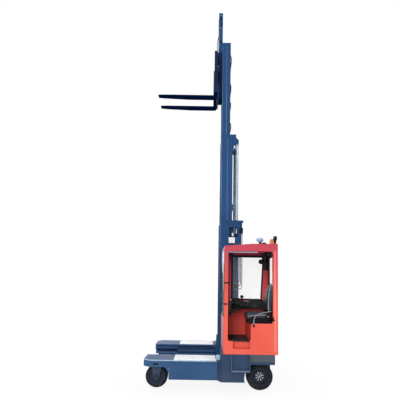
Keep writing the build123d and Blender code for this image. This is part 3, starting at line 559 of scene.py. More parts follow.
# Cross plates: flat plates across the channels behind each stage, with rows of four bolts.
# The outer stage carries a white work lamp, six lenses in a black guard.
cross_rows = (
    # body, x of the rear face, half width, height of the row
    ("reach_carriage", mast + 0.254, 0.34, 0.60), ("reach_carriage", mast + 0.254, 0.34, 0.68),
    ("reach_carriage", mast + 0.254, 0.34, 1.54), ("reach_carriage", mast + 0.254, 0.34, 1.62),
    ("mast_middle", mast + 0.228, 0.28, 1.898), ("mast_middle", mast + 0.228, 0.28, 2.978),
    ("mast_middle", mast + 0.228, 0.28, 4.038),
    ("mast_inner", mast + 0.181, 0.215, 4.114), ("mast_inner", mast + 0.181, 0.215, 4.914),
    ("mast_inner", mast + 0.167, 0.215, 6.101),
)
for n, (body, x, half, z) in enumerate(cross_rows):
    row = bmesh.new()
    for y in (-half, -half + 0.05, half - 0.05, half):
        bolt(row, (x, y, z), (1, 0, 0), 0.011)
    piece(f"cross_bolts_{n}", row, bolt_steel, body)
lamp_white = surface("lamp_white", (225, 230, 233), (245, 247, 248), rough=(0.12, 0.2), cloud=20, coat=0.5)
coat_nodes(lamp_white, "mast_lamp")
low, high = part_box("mast_lamp")
lens = bmesh.new()
for n in range(3):
    for m in range(2):
        spot = (low[0] + 0.022 + n * 0.031, low[2] + 0.028 + m * 0.042)
        bar(lens, (spot[0], low[1] - 0.002, spot[1]), (spot[0], low[1] + 0.002, spot[1]), 0.013, 20,
            tip=0.011)
piece("mast_lamp_lens", lens, lamp_white, "reach_carriage")
shell = bmesh.new()
guard = 0.004
guard_y = (low[1] + 0.006, low[1] + 0.026)
for z in (low[2], high[2]):
    block(shell, (low[0] - guard, guard_y[0], z - guard), (high[0] + guard, guard_y[1], z + guard), 0.002)
for x in (low[0], high[0]):
    block(shell, (x - guard, guard_y[0], low[2]), (x + guard, guard_y[1], high[2]), 0.002)
piece("mast_lamp_shell", shell, black_plastic, "reach_carriage")

# Outer stage's top bracket: a round bar frames the opening in each of its sides.
# A row of bolts holds it under the stage's lip, and a rib stiffens its rear edge.
trim = bmesh.new()
opening_x, opening_z = (mast + 0.165, mast + 0.310), (2.440, 2.601)
lip_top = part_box("mast_outer")[1][2]
for out in (-1, 1):
    face = out * 0.3812
    corners = [(opening_x[0], opening_z[0]), (opening_x[1], opening_z[0]), (opening_x[1], opening_z[1]),
               (opening_x[0], opening_z[1])]
    for a, b in zip(corners, corners[1:] + corners[:1]):
        bar(trim, (a[0], face, a[1]), (b[0], face, b[1]), 0.005, 12)
    for x in (0.12, 0.2, 0.28, 0.36):
        bolt(trim, (mast + x, out * 0.386, lip_top - 0.02), (0, out, 0), 0.009)
    block(trim, (mast + 0.36, out * 0.366, 2.24), (mast + 0.37, out * 0.392, lip_top - 0.045), 0.003)
piece("bracket_trim", trim, navy_paint, "reach_carriage")

# Lift cylinders: painted barrels with a gland nut at the top and hose unions near the foot.
# The rods stay bright where they are wiped by the seals.
cylinder_x, cylinder_y = mast + 0.300, 0.3
barrel_radius = 0.038


def collar(shape, y, low_z, high_z, inner, outer, turns=32):
    """Add a ring round a lift barrel."""
    section = [(inner, low_z), (outer, low_z), (outer, high_z), (inner, high_z)]
    lathe(shape, section, (cylinder_x, y, 0), turns, upright=True)


glands = bmesh.new()
for out in (-1, 1):
    y = out * cylinder_y
    collar(glands, y, 2.44, 2.498, barrel_radius, 0.044)
    collar(glands, y, 2.425, 2.438, barrel_radius, 0.042, 8)
    collar(glands, y, 0.16, 0.21, barrel_radius, 0.046)
    bar(glands, (cylinder_x, out * 0.262, 0.24), (cylinder_x, out * 0.2, 0.24), 0.014, 16)
    block(glands, (mast + 0.254, y - 0.03, 1.6), (cylinder_x - barrel_radius + 0.002, y + 0.03, 1.63), 0.004)
    collar(glands, y, 1.595, 1.635, barrel_radius, 0.043)
piece("barrel_glands", glands, navy_paint, "reach_carriage")
rod_heads = bmesh.new()
for out in (-1, 1):
    bar(rod_heads, (cylinder_x, out * cylinder_y, 4.119), (cylinder_x, out * cylinder_y, 4.131), 0.03, 6)
piece("rod_nuts", rod_heads, bolt_steel, "mast_middle")
free_x = mast + 0.0915
free_rings = (
    # foot, top, radius, sides
    (4.70, 4.762, 0.052, 32), (4.685, 4.70, 0.048, 8), (3.383, 3.43, 0.052, 32),
)
free_gland = bmesh.new()
for low_z, high_z, radius, sides in free_rings:
    bar(free_gland, (free_x, 0, low_z), (free_x, 0, high_z), radius, sides)
bar(free_gland, (free_x, 0.04, 3.47), (free_x, 0.085, 3.47), 0.012, 16)
piece("free_lift_gland", free_gland, navy_paint, "mast_inner")


def pipe(name, points, radius, material, body="chassis", closed=False, soft=True):
    """A smooth tube along a line of points."""
    curve = bpy.data.curves.new(name, "CURVE")
    curve.dimensions = "3D"
    curve.bevel_depth = radius
    curve.bevel_resolution = 4
    curve.resolution_u = 8
    curve.use_fill_caps = True
    line = curve.splines.new("NURBS" if soft else "POLY")
    line.points.add(len(points) - 1)
    for spot, point in zip(line.points, points):
        spot.co = (*point, 1)
    if soft:
        line.order_u = 3
        line.use_endpoint_u = not closed
    line.use_cyclic_u = closed
    guide = bpy.data.objects.new(name + "_line", curve)
    scene.collection.objects.link(guide)
    bpy.context.view_layer.update()
    mesh = bpy.data.meshes.new_from_object(guide.evaluated_get(bpy.context.evaluated_depsgraph_get()))
    bpy.data.objects.remove(guide)
    mesh.name = name
    mesh.materials.clear()
    mesh.materials.append(material)
    mesh.shade_smooth()
    made = bpy.data.objects.new(name, mesh)
    scene.collection.objects.link(made)
    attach(made, body)
    return made


# Hydraulic lines: hard pipes that run down the left outer channel from a manifold at its bracket, and
# short bows of hose behind the inner stage, whose ends stop short of anything that holds them.
hose_black = surface("hose_black", (14, 16, 20), (24, 27, 32), rough=(0.45, 0.6), grain=(700, 0.0001))
line_y = -0.364
line_places = (mast + 0.346, mast + 0.368, mast + 0.390)
for n, x in enumerate(line_places):
    foot_z = 1.62 - n * 0.05
    route = [(x, 2.52), (x, 2.2), (x, foot_z + 0.08), (x - 0.006, foot_z + 0.02), (x - 0.04, foot_z),
             (mast + 0.242, foot_z)]
    pipe(f"hard_line_{n}", [(along, line_y, z) for along, z in route], 0.0075,
         hose_black if n == 1 else run_steel, "reach_carriage")
manifold = bmesh.new()
block(manifold, (mast + 0.332, -0.381, 2.50), (mast + 0.404, -0.345, 2.60), 0.004)
bar(manifold, (mast + 0.404, -0.363, 2.565), (mast + 0.408, -0.363, 2.565), 0.012, 16)
for x in line_places:
    bar(manifold, (x, line_y, 2.482), (x, line_y, 2.502), 0.010, 6)
    bar(manifold, (x, line_y, 2.15), (x, line_y, 2.165), 0.0095, 6)
piece("line_manifold", manifold, navy_paint, "reach_carriage")
behind = mast + 0.171
hose_bows = (
    # lower end, upper end, how far it bows out, place across the mast
    (5.62, 5.95, 0.016, -0.14), (5.12, 5.38, 0.013, -0.13), (4.40, 4.60, 0.015, -0.14),
    (5.62, 5.95, 0.014, 0.14),
)
for n, (low_z, high_z, reach, y) in enumerate(hose_bows):
    middle_z = low_z + (high_z - low_z) * 0.62
    route = [(-0.012, low_z - 0.1), (-0.006, low_z), (reach * 0.7, middle_z - 0.05), (reach, middle_z),
             (reach * 0.8, middle_z + 0.06), (-0.006, high_z), (-0.012, high_z + 0.05)]
    pipe(f"hose_bow_{n}", [(behind + x, y, z) for x, z in route], 0.009, hose_black,
         "mast_inner")

# Carriage tower: pale lines along its folds and on its top rungs are painted highlights, and dark plates sit
# on its sides.
# A cable bows down in front of it.
pipe("tower_cable", [(mast - 0.056, -0.1, 6.36), (mast - 0.068, -0.1, 6.3), (mast - 0.085, -0.1, 6.17),
                     (mast - 0.086, -0.1, 6.08), (mast - 0.074, -0.1, 5.99), (mast - 0.062, -0.1, 5.955)],
     0.006, hose_black, "fork_carriage")
tower_low, tower_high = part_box("carriage_tower")
tower_width = tower_high[0] - tower_low[0]
tower_highlights = bmesh.new()
tower_clips = bmesh.new()
for out in (-1, 1):
    block(tower_highlights, (tower_low[0] + 0.002, out * 0.122, 6.10), (tower_low[0] + 0.010, out * 0.1232, 6.46),
          0.0004)
    for z, tall in ((6.50, 0.012), (6.75, 0.01)):
        block(tower_highlights, (tower_low[0] + 0.004, out * 0.121, z),
              (tower_high[0] - 0.004, out * 0.126, z + tall), 0.002)
    for z, tall, start, share in ((6.20, 0.05, 0.35, 0.6), (6.54, 0.08, 0.5, 0.45), (6.66, 0.06, 0.05, 0.7)):
        block(tower_clips, (tower_low[0] + tower_width * start, out * 0.120, z),
              (tower_low[0] + tower_width * (start + share), out * 0.128, z + tall), 0.003)
piece("tower_highlights", tower_highlights, fold_highlight_paint, "fork_carriage")
piece("tower_clips", tower_clips, navy_paint, "fork_carriage")


# Leaf chains: rows of thin figure-of-eight plates on pins, oiled and dark.
# The lift chains pass over sheaves at the top of the middle stage.
def leaf_chain(shape, start, end):
    """Add the plates and pins of a straight run of chain."""
    width, pitch, leaves = 0.03, 0.022, 4
    half_plate = Vector((0.0054, 0.0014, pitch * 0.62))
    start, end = Vector(start), Vector(end)
    run = end - start
    count = max(1, int(run.length / pitch))
    across = Vector((0, 1, 0))
    for n in range(count):
        middle = start + run * ((n + 0.5) / count)
        shift = 0 if n % 2 else 0.0025
        for leaf in range(leaves):
            at = middle + across * (-width / 2 + (leaf + 0.5) * width / leaves + shift - 0.0012)
            block(shape, at - half_plate, at + half_plate)
        pin = start + run * (n / count)
        bar(shape, pin - across * width / 2, pin + across * width / 2, 0.0045, 8)


coat_nodes(chain_oil, "lift_chains", "carriage_chains")
low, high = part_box("lift_chains")
sheave_x, sheave_z = (low[0] + high[0]) / 2, high[2] - 0.044
front_run, rear_run = low[0] + 0.003, high[0] - 0.003
lift_links = bmesh.new()
for out in (-1, 1):
    y = out * 0.205
    leaf_chain(lift_links, (front_run, y, 3.44), (front_run, y, sheave_z))
    leaf_chain(lift_links, (rear_run, y, low[2]), (rear_run, y, sheave_z))
piece("lift_chain_links", lift_links, chain_oil, "mast_middle", smooth=False)
sheaves = bmesh.new()
for out in (-1, 1):
    bar(sheaves, (sheave_x, out * 0.186, sheave_z), (sheave_x, out * 0.2245, sheave_z), 0.022, 24)
    for way in (-1, 1):
        rim_edge = [(0.026, way * 0.0152), (0.047, way * 0.0152), (0.047, way * 0.019), (0.026, way * 0.019)]
        lathe(sheaves, rim_edge, (sheave_x, out * 0.205, sheave_z), 40)
piece("lift_sheaves", sheaves, bolt_steel, "mast_middle")
low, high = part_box("carriage_chains")
front_run, rear_run = low[0] + 0.004, high[0] - 0.004
carriage_links = bmesh.new()
for out in (-1, 1):
    y = out * 0.07
    leaf_chain(carriage_links, (front_run, y, high[2] - 0.33), (front_run, y, high[2]))
    leaf_chain(carriage_links, (rear_run, y, low[2]), (rear_run, y, high[2]))
piece("carriage_chain_links", carriage_links, chain_oil, "free_lift_head", smooth=False)

# Forks and carriage: forged forks hooked on two bars, with a load guard of flat bar above them.
# The forks are near black.
fork_paint = surface("fork_paint", (0, 14, 44), (6, 22, 56), rough=(0.45, 0.6), cloud=5, gloss=0.0)
fork_profile = (
    # along the blade from the heel, top, underside
    (0.000, 5.066, 5.021), (-0.150, 5.066, 5.021), (-0.469, 5.066, 5.0215), (-0.900, 5.066, 5.0385),
    (-1.022, 5.066, 5.0435), (-1.038, 5.064, 5.046),
)
fork_half, blade_foot, shank_top = 0.06, 5.021, 5.621
for side in ("left", "right"):
    low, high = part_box(f"fork_{side}")
    fork = bmesh.new()
    centre = (low[1] + high[1]) / 2
    heel = low[0] + 1.042
    for a, b in zip(fork_profile, fork_profile[1:]):
        a_width = fork_half * (1.0 if a[0] > -0.95 else 0.95)
        b_width = fork_half * (1.0 if b[0] > -0.95 else 0.86)
        for vert in bmesh.ops.create_cube(fork, size=1)["verts"]:
            (along, top, underside), width = (a, a_width) if vert.co.x > 0 else (b, b_width)
            vert.co = Vector((heel + along, centre + (width if vert.co.y > 0 else -width),
                              top if vert.co.z > 0 else underside))
    bmesh.ops.remove_doubles(fork, verts=fork.verts, dist=0.0004)
    inner_faces = [face for face in fork.faces if all(len(edge.link_faces) > 2 for edge in face.edges)]
    bmesh.ops.delete(fork, geom=inner_faces, context="FACES")
    block(fork, (heel, centre - fork_half, blade_foot), (heel + 0.045, centre + fork_half, shank_top), 0.006)
    bar(fork, (heel + 0.012, centre - 0.0598, 5.072), (heel + 0.012, centre + 0.0598, 5.072), 0.011, 20)
    block(fork, (heel + 0.04, centre - 0.055, 5.582), (heel + 0.069, centre + 0.055, 5.61), 0.004)
    made = piece(f"forged_fork_{side}", fork, fork_paint, f"fork_{side}")
    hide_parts(f"fork_{side}")
    latch = bmesh.new()
    bar(latch, (heel + 0.02, centre, 5.618), (heel + 0.02, centre, 5.65), 0.012, 20)
    bar(latch, (heel + 0.02, centre - 0.02, 5.643), (heel + 0.02, centre + 0.02, 5.643), 0.005, 12)
    piece(f"fork_latch_{side}", latch, bolt_steel, f"fork_{side}")

# Cab: folded steel panels in coral red, open on the driver's side, lined with rubber seals.
# The paint turns darker and pinker towards the roof as painted shade. The lining inside is the same red, and
# it also darkens towards the roof as painted shade.
cab_paint = surface("cab_paint", (228, 90, 74), (238, 102, 86), rough=(0.35, 0.5), gloss=0.12,
                    height_shade=((194, 70, 88), 1.3, 2.2))
cab_lining = surface("cab_lining", (236, 84, 74), (248, 96, 84), rough=(0.45, 0.6),
                     height_shade=((176, 58, 80), 1.2, 2.05))
coat_nodes(cab_paint, "cab_side", "cab_sill", "cab_front", "cab_rear", "cab_roof", "battery_hood",
           "battery_door", "seat_box")
coat_nodes(cab_lining, "cab_inner")
coat_nodes(chassis_paint, "rear_cover")
mat_rubber = surface("mat_rubber", (46, 48, 52), (60, 62, 66), rough=(0.5, 0.7), grain=(600, 0.0002))
coat_nodes(mat_rubber, "cab_floor")
coat_nodes(black_plastic, "seat_base", "side_console", "key_pod", "steering_column", "grab_rail", "work_lamp",
           "steering_wheel")
coat_nodes(amber_lens, "beacon")
battery_case = surface("battery_case", (34, 36, 40), (46, 48, 53), rough=(0.5, 0.7))
coat_nodes(battery_case, "battery")
(cab_front, cab_out, sill), (cab_rear, _, _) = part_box("cab_side")
cab_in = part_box("cab_inner")[1][1]
door_x = (cab_front + 0.060, cab_front + 0.408, cab_rear - 0.078)
door_z = (sill, 1.020, 2.116)


def rounded(points, radii):
    """A closed line whose corners are cut back, each by its own amount."""
    line = []
    for before, here, after, radius in zip(points[-1:] + points, points, points[1:] + points[:1], radii):
        here = Vector(here)
        if not radius:
            line.append(tuple(here))
            continue
        towards = [(Vector(p) - here).normalized() * radius for p in (before, after)]
        line += [tuple(here + step) for step in (towards[0], towards[0] * 0.3, towards[1] * 0.3, towards[1])]
    return line


door_y = cab_out + 0.012
door_corners = [(door_x[0], door_z[0]), (door_x[1], door_z[0]), (door_x[1], door_z[1]),
                (door_x[2], door_z[1]), (door_x[2], door_z[2]), (door_x[0], door_z[2])]
door_outline = rounded([(x, door_y, z) for x, z in door_corners], (0, 0, 0, 0, 0.035, 0.035))
pipe("door_seal", door_outline, 0.0075, rubber_black, closed=True, soft=False)
folds = bmesh.new()
for x in (cab_front + 0.006, cab_rear - 0.006):
    bar(folds, (x, cab_out + 0.0055, 0.562), (x, cab_out + 0.0055, 2.17 if x < 0.5 else 2.225), 0.0058, 16)
block(folds, (cab_front + 0.001, cab_out + 0.0002, 0.562), (cab_rear - 0.001, cab_out + 0.004, 0.570), 0.001)
piece("cab_folds", folds, cab_paint)
# A raised strip down the rear post is painted lighter: a painted highlight where its rounded corner catches
# the light.
post_highlight_paint = surface("post_highlight_paint", (246, 128, 108), (255, 142, 122), rough=(0.3, 0.4), gloss=0.2,
                     height_shade=((236, 104, 110), 1.4, 2.2))
post_glint = bmesh.new()
block(post_glint, (cab_rear - 0.058, cab_out - 0.0018, 0.60), (cab_rear - 0.028, cab_out + 0.002, 2.13), 0.0015)
piece("post_highlight", post_glint, post_highlight_paint)
shadow_red = surface("shadow_red", (150, 46, 44), (166, 54, 50), rough=(0.5, 0.7))
# Dark red strips along the kick pocket's foot and sides: painted shade.
pocket_shade_strips = bmesh.new()
pocket_edges = ((0.342, 0.643, 0.600, 0.653), (0.340, 0.645, 0.348, 0.754), (0.594, 0.645, 0.600, 0.754))
for low_x, low_z, high_x, high_z in pocket_edges:
    block(pocket_shade_strips, (low_x, cab_out - 0.001, low_z), (high_x, cab_out + 0.004, high_z), 0.001)
piece("pocket_shade", pocket_shade_strips, shadow_red)
creases = bmesh.new()
for x in (0.383, 0.583):
    bar(creases, (x, cab_in - 0.021, 0.757), (x, cab_in - 0.021, 1.19), 0.004, 10)
piece("cab_creases", creases, cab_lining)

# Windows: clear panes in black rubber. The pane to the mast leans with its rear edge at the foot,
# and the windscreen stands a little proud of the cab's front, its tint turning pale near the top as a painted
# reflection, above an apron painted pale for the light on that face.
pane_tint = (0.80, 0.84, 0.88, 1)
panes = {}
for name, alpha in (("clear_pane", 0.10), ("roof_pane_plastic", 0.4)):
    made = bpy.data.materials.new(name)
    made.use_nodes = True
    skin = made.node_tree.nodes["Principled BSDF"]
    skin.inputs["Base Color"].default_value = pane_tint
    skin.inputs["Roughness"].default_value = 0.08
    skin.inputs["Alpha"].default_value = alpha
    panes[name] = made
coat_nodes(panes["roof_pane_plastic"], "roof_pane")
window_y = cab_in - 0.021
window_x = (cab_front + 0.177, cab_rear - 0.105)
window_z = (1.352, 2.085)
window_foot = window_x[1] - 0.038
window_corners = [(window_x[0], window_z[0]), (window_foot, window_z[0]), (window_x[1], window_z[1]),
                  (window_x[0], window_z[1])]
window_outline = rounded([(x, window_y, z) for x, z in window_corners], (0.03, 0.03, 0.05, 0.05))
pipe("inner_window_seal", window_outline, 0.013, rubber_black, closed=True, soft=False)
filler = bmesh.new()
corners = [(window_foot, window_z[0]), (window_x[1] + 0.002, window_z[0]), (window_x[1] + 0.002, window_z[1])]
rings = [[filler.verts.new((x, y, z)) for x, z in corners] for y in (cab_in - 0.004, cab_in - 0.018)]
for ring in (rings[0], rings[1][::-1]):
    filler.faces.new(ring)
for n in range(3):
    m = (n + 1) % 3
    filler.faces.new((rings[0][m], rings[0][n], rings[1][n], rings[1][m]))
bmesh.ops.recalc_face_normals(filler, faces=filler.faces)
piece("window_corner", filler, cab_lining, smooth=False)
glazing = bmesh.new()
block(glazing, (window_x[0] - 0.004, cab_in - 0.012, window_z[0] - 0.004),
      (window_x[1] + 0.004, cab_in - 0.007, window_z[1] + 0.004), 0.001)
block(glazing, (cab_rear - 0.013, cab_out + 0.12, 1.41), (cab_rear - 0.008, cab_in - 0.1, 2.07), 0.001)
piece("inner_panes", glazing, panes["clear_pane"])
screen = bmesh.new()
screen_y, screen_z = (cab_out + 0.012, cab_in - 0.02), (1.12, 2.15)
block(screen, (cab_front - 0.008, screen_y[0], screen_z[0]), (cab_front - 0.002, screen_y[1], screen_z[1]),
      0.0015)
# The tint turns pale towards the top: a painted reflection.
tinted_pane = surface("tinted_pane", (52, 62, 74), (66, 78, 92), rough=(0.1, 0.14), grain=(200, 0.00001),
                      gloss=0.12, height_shade=((190, 200, 222), 1.86, 1.98))
tinted_pane.node_tree.nodes["Principled BSDF"].inputs["Alpha"].default_value = 0.6
piece("windscreen", screen, tinted_pane)
wiper = bmesh.new()
wiper_y, wiper_z, blade_y = -0.86, 1.17, -0.98
bar(wiper, (cab_front - 0.002, wiper_y, wiper_z), (cab_front - 0.016, wiper_y, wiper_z), 0.014, 20)
bar(wiper, (cab_front - 0.013, wiper_y, wiper_z), (cab_front - 0.012, blade_y, 1.52), 0.0045, 12)
bar(wiper, (cab_front - 0.0125, blade_y, 1.26), (cab_front - 0.0125, blade_y, 1.78), 0.0045, 12)
piece("wiper", wiper, rubber_black)
seals = bmesh.new()
seal_width = 0.012
for z in (screen_z[0], screen_z[1] - seal_width):
    block(seals, (cab_front - 0.010, screen_y[0], z), (cab_front, screen_y[1], z + seal_width), 0.003)
for y in (screen_y[0], screen_y[1] - seal_width):
    block(seals, (cab_front - 0.003, y, 1.13), (cab_front, y + seal_width, 2.14), 0.001)
rear_y, rear_z = (cab_out + 0.13, cab_in - 0.11), (1.42, 2.06)
rear_corners = [(rear_y[0], rear_z[0]), (rear_y[1], rear_z[0]), (rear_y[1], rear_z[1]),
                (rear_y[0], rear_z[1])]
rear_outline = rounded([(cab_rear - 0.022, y, z) for y, z in rear_corners], (0.04,) * 4)
pipe("rear_window_seal", rear_outline, 0.012, rubber_black, closed=True, soft=False)
piece("windscreen_seals", seals, rubber_black)
# A pale pink plate on the cab's lower front: painted light for the strong light on that face.
apron = bmesh.new()
block(apron, (cab_front - 0.004, cab_out + 0.02, 0.60), (cab_front, cab_in - 0.02, 1.10), 0.0015)
apron_painted_light = surface("apron_painted_light", (186, 112, 114), (200, 124, 124), rough=(0.4, 0.6))
piece("front_apron", apron, apron_painted_light)

# Roof lining and pillars: black plastic mouldings round the roof light and over the rear pillar, which also
# serve as painted shade for the dark upper cab.
# A round fan sits on a bracket beside the window. Rubber clips hold the grab rail to its pillar.
lining = bmesh.new()
inner_face = cab_in - 0.020
lining_face, lining_top = inner_face - 0.0005, 2.153
for low, high, edge in (
    # low corner, high corner, rounding of the edges
    ((cab_front + 0.021, inner_face - 0.07, 2.075), (cab_front + 0.19, lining_face, lining_top), 0.012),
    ((cab_front + 0.021, cab_out + 0.03, 2.10), (cab_front + 0.075, inner_face - 0.05, lining_top), 0.012),
    ((cab_rear - 0.135, inner_face - 0.075, 2.04), (cab_rear - 0.021, lining_face, lining_top), 0.014),
    ((cab_rear - 0.075, cab_out + 0.03, 2.085), (cab_rear - 0.021, inner_face - 0.05, lining_top), 0.012),
    ((cab_rear - 0.10, inner_face - 0.028, 1.86), (cab_rear - 0.026, lining_face, 2.05), 0.01),
    ((cab_rear - 0.046, cab_out + 0.095, 1.38), (cab_rear - 0.0205, cab_out + 0.118, 2.10), 0.006),
    ((cab_rear - 0.035, inner_face - 0.085, 1.38), (cab_rear - 0.0205, inner_face - 0.062, 2.06), 0.006),
    ((cab_front + 0.10, inner_face - 0.012, 2.098), (cab_rear - 0.15, lining_face, 2.112), 0.003),
):
    block(lining, low, high, edge)
piece("roof_lining_shade", lining, black_plastic)
# The pale liner under the roof pane glows a little: painted light for daylight through the pane.
glowing_roof_liner = surface("glowing_roof_liner", (186, 188, 200), (210, 212, 222), rough=(0.4, 0.6))
glow_sockets = glowing_roof_liner.node_tree.nodes["Principled BSDF"].inputs
glow_sockets["Emission Color"].default_value = colour_of(200, 200, 214)
glow_sockets["Emission Strength"].default_value = 0.45
liner = bmesh.new()
block(liner, (cab_front + 0.08, cab_out + 0.12, 2.1495), (cab_rear - 0.22, inner_face - 0.075, 2.1535), 0.001)
piece("roof_liner", liner, glowing_roof_liner)
fan_at = Vector((cab_rear - 0.156, inner_face - 0.085, 1.998))
fan = bmesh.new()
lathe(fan, [(0.030, -0.012), (0.038, -0.012), (0.041, 0.0), (0.038, 0.012), (0.030, 0.012)], fan_at, 40)
bar(fan, fan_at + Vector((0, 0.009, 0)), fan_at + Vector((0, 0.012, 0)), 0.033, 32)
for n in range(6):
    spoke = Vector((cos(n * pi / 3), 0, sin(n * pi / 3))) * 0.031
    bar(fan, fan_at - Vector((0, 0.010, 0)), fan_at - Vector((0, 0.010, 0)) + spoke, 0.0025, 8)
bar(fan, fan_at + Vector((0, -0.012, 0)), fan_at + Vector((0, 0.016, 0)), 0.014, 24)
bar(fan, fan_at + Vector((0.036, 0, 0.004)), fan_at + Vector((0.075, 0.03, 0.012)), 0.008, 12)
block(fan, fan_at + Vector((0.055, 0.01, -0.018)), fan_at + Vector((0.085, 0.0845, 0.045)), 0.003)
piece("cab_fan", fan, rubber_black)
clips = bmesh.new()
clip_y, clip_half = cab_out - 0.004, 0.011
for z, reach in ((1.626, 0.085), (1.306, 0.05)):
    low_z, high_z = z - clip_half, z + clip_half
    block(clips, (cab_front + 0.002, clip_y, low_z), (cab_front + reach, cab_out + 0.004, high_z), 0.002)
    block(clips, (cab_front - 0.006, clip_y, low_z), (cab_front + 0.004, cab_out + 0.03, high_z), 0.002)
    bar(clips, (cab_front + 0.014, cab_out - 0.003, z), (cab_front + 0.014, cab_out - 0.009, z), 0.007, 6)
piece("rail_clips", clips, rubber_black)

# Controls: key pod with its stop button, a console along the mast side with two levers, a display
# and a row of switches, the steering wheel's boss and knob, and two pedals on the floor.
pod_low, pod_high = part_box("key_pod")
pod = bmesh.new()
block(pod, (pod_low[0], pod_low[1], pod_low[2] + 0.07), (pod_high[0] - 0.03, pod_high[1], pod_high[2] - 0.02),
      0.012)
block(pod, (pod_low[0], pod_low[1] + 0.015, pod_low[2]),
      (pod_high[0] - 0.055, pod_high[1] - 0.015, pod_low[2] + 0.09), 0.012)
block(pod, (pod_low[0] + 0.01, pod_low[1] + 0.01, pod_high[2] - 0.1),
      (pod_high[0] - 0.01, pod_high[1] - 0.01, pod_high[2] - 0.045), 0.01)
bar(pod, (pod_low[0] + 0.05, pod_low[1] + 0.05, pod_high[2] - 0.03),
    (pod_low[0] + 0.05, pod_low[1] + 0.05, pod_high[2]), 0.022, 24, tip=0.02)
made = piece("key_pod_housing", pod, black_plastic)
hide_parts("key_pod")
button = bmesh.new()
button_at = Vector((pod_low[0] + 0.078, pod_low[1], pod_high[2] - 0.030))
bar(button, button_at + Vector((0, 0.002, 0)), button_at - Vector((0, 0.012, 0)), 0.013, 24, tip=0.011)
stop_orange = surface("stop_orange", (226, 96, 30), (240, 120, 40), rough=(0.2, 0.3), coat=0.4)
piece("stop_button", button, stop_orange)

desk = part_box("side_console")
desk_top = desk[1][2]
desk_edge = inner_face - 0.150
display = bmesh.new()
block(display, (0.40, desk_edge + 0.04, desk_top - 0.002), (0.47, desk_edge + 0.12, desk_top + 0.014), 0.004)
for n in range(5):
    switch_x = 0.60 + n * 0.032
    block(display, (switch_x, desk_edge + 0.012, desk_top - 0.001),
          (switch_x + 0.02, desk_edge + 0.03, desk_top + 0.006), 0.002)
block(display, (0.66, desk_edge + 0.035, desk_top - 0.002), (0.90, desk_edge + 0.135, desk_top + 0.022), 0.01)
for n in range(4):
    slot_start = 0.37 + n * 0.13
    block(display, (slot_start, desk_edge - 0.0035, 1.222), (slot_start + 0.11, desk_edge + 0.002, 1.235),
          0.0015)
block(display, (cab_front + 0.145, desk_edge - 0.003, 1.262), (cab_rear - 0.075, desk_edge + 0.002, 1.268),
      0.001)
piece("console_fittings", display, hose_black)
# Thin grey strips along the console's edges: painted highlights.
glints = bmesh.new()
for low_x, high_x, low_z, high_z, low_y, high_y in (
    (0.563, 0.683, desk_top - 0.006, desk_top + 0.0015, desk_edge - 0.002, desk_edge + 0.002),
    (0.444, 0.530, 1.262, 1.270, desk_edge - 0.0035, desk_edge),
    (0.36, 0.42, 1.292, 1.298, desk_edge - 0.0035, desk_edge),
    (0.72, 0.79, 1.245, 1.250, desk_edge - 0.003, desk_edge),
):
    block(glints, (low_x, low_y, low_z), (high_x, high_y, high_z), 0.001)
glint_grey = surface("glint_grey", (96, 108, 122), (140, 152, 166), rough=(0.25, 0.4), cloud=20)
piece("console_highlights", glints, glint_grey)


def ball(shape, place, radius, around=32, up=16, squash=1.0):
    """Add a ball, flattened where squash is under 1."""
    bmesh.ops.create_uvsphere(shape, u_segments=around, v_segments=up, radius=radius,
                              matrix=Matrix.Translation(place) @ Matrix.Diagonal((1, 1, squash, 1)))


lamp_dot = bmesh.new()
ball(lamp_dot, (0.632, desk_edge + 0.004, desk_top - 0.01), 0.008, 16, 10)
block(lamp_dot, (0.407, desk_edge + 0.05, desk_top + 0.0135), (0.463, desk_edge + 0.11, desk_top + 0.0148),
      0.0005)
piece("console_lamp", lamp_dot, lamp_white)
levers = bmesh.new()
lever_y = desk_edge + 0.05
for x, top, radius in ((0.541, 1.398, 0.030), (0.486, 1.362, 0.017)):
    foot_x = x + 0.004
    bar(levers, (foot_x, lever_y, desk_top - 0.004), (foot_x, lever_y, desk_top + 0.012), radius * 0.9, 24,
        tip=radius * 0.5)
    bar(levers, (foot_x, lever_y, desk_top + 0.006), (x, lever_y, top), 0.006, 12)
    ball(levers, (x, lever_y, top), radius, 28, 18, 0.92)
piece("hand_levers", levers, rubber_black)
pedals = bmesh.new()
arm_x = (cab_front + 0.10, cab_front + 0.045)
for y in (cab_out + 0.36, cab_out + 0.52):
    block(pedals, (cab_front + 0.09, y, sill + 0.012), (cab_front + 0.20, y + 0.075, sill + 0.024), 0.004)
    bar(pedals, (arm_x[0], y + 0.037, sill + 0.015), (arm_x[1], y + 0.037, sill + 0.09), 0.008, 12)
    for n in range(5):
        x = cab_front + 0.105 + n * 0.02
        bar(pedals, (x, y + 0.006, sill + 0.025), (x, y + 0.069, sill + 0.025), 0.0022, 8)
piece("pedals", pedals, rubber_black)
ribs = bmesh.new()
for n in range(11):
    x = door_x[0] - 0.01 + n * 0.032
    bar(ribs, (x, cab_out + 0.085, sill + 0.001), (x, inner_face - 0.002, sill + 0.001), 0.0026, 6)
piece("mat_ribs", ribs, mat_rubber, smooth=False)
wheel_tilt = radians(12)
wheel_axis = Vector((sin(wheel_tilt), 0, cos(wheel_tilt)))
boss_at = Vector((cab_front + 0.303, cab_out + 0.555, 1.262))
boss = bmesh.new()
bar(boss, boss_at + wheel_axis * 0.010, boss_at + wheel_axis * 0.022, 0.040, 40, tip=0.03)
knob_at = boss_at + wheel_axis * 0.014 + Vector((-cos(wheel_tilt), 0, sin(wheel_tilt))) * 0.137
bar(boss, knob_at, knob_at + wheel_axis * 0.03, 0.008, 16)
ball(boss, knob_at + wheel_axis * 0.042, 0.02, 24, 14)
piece("wheel_boss", boss, rubber_black, "steering_wheel")
stalk = bmesh.new()
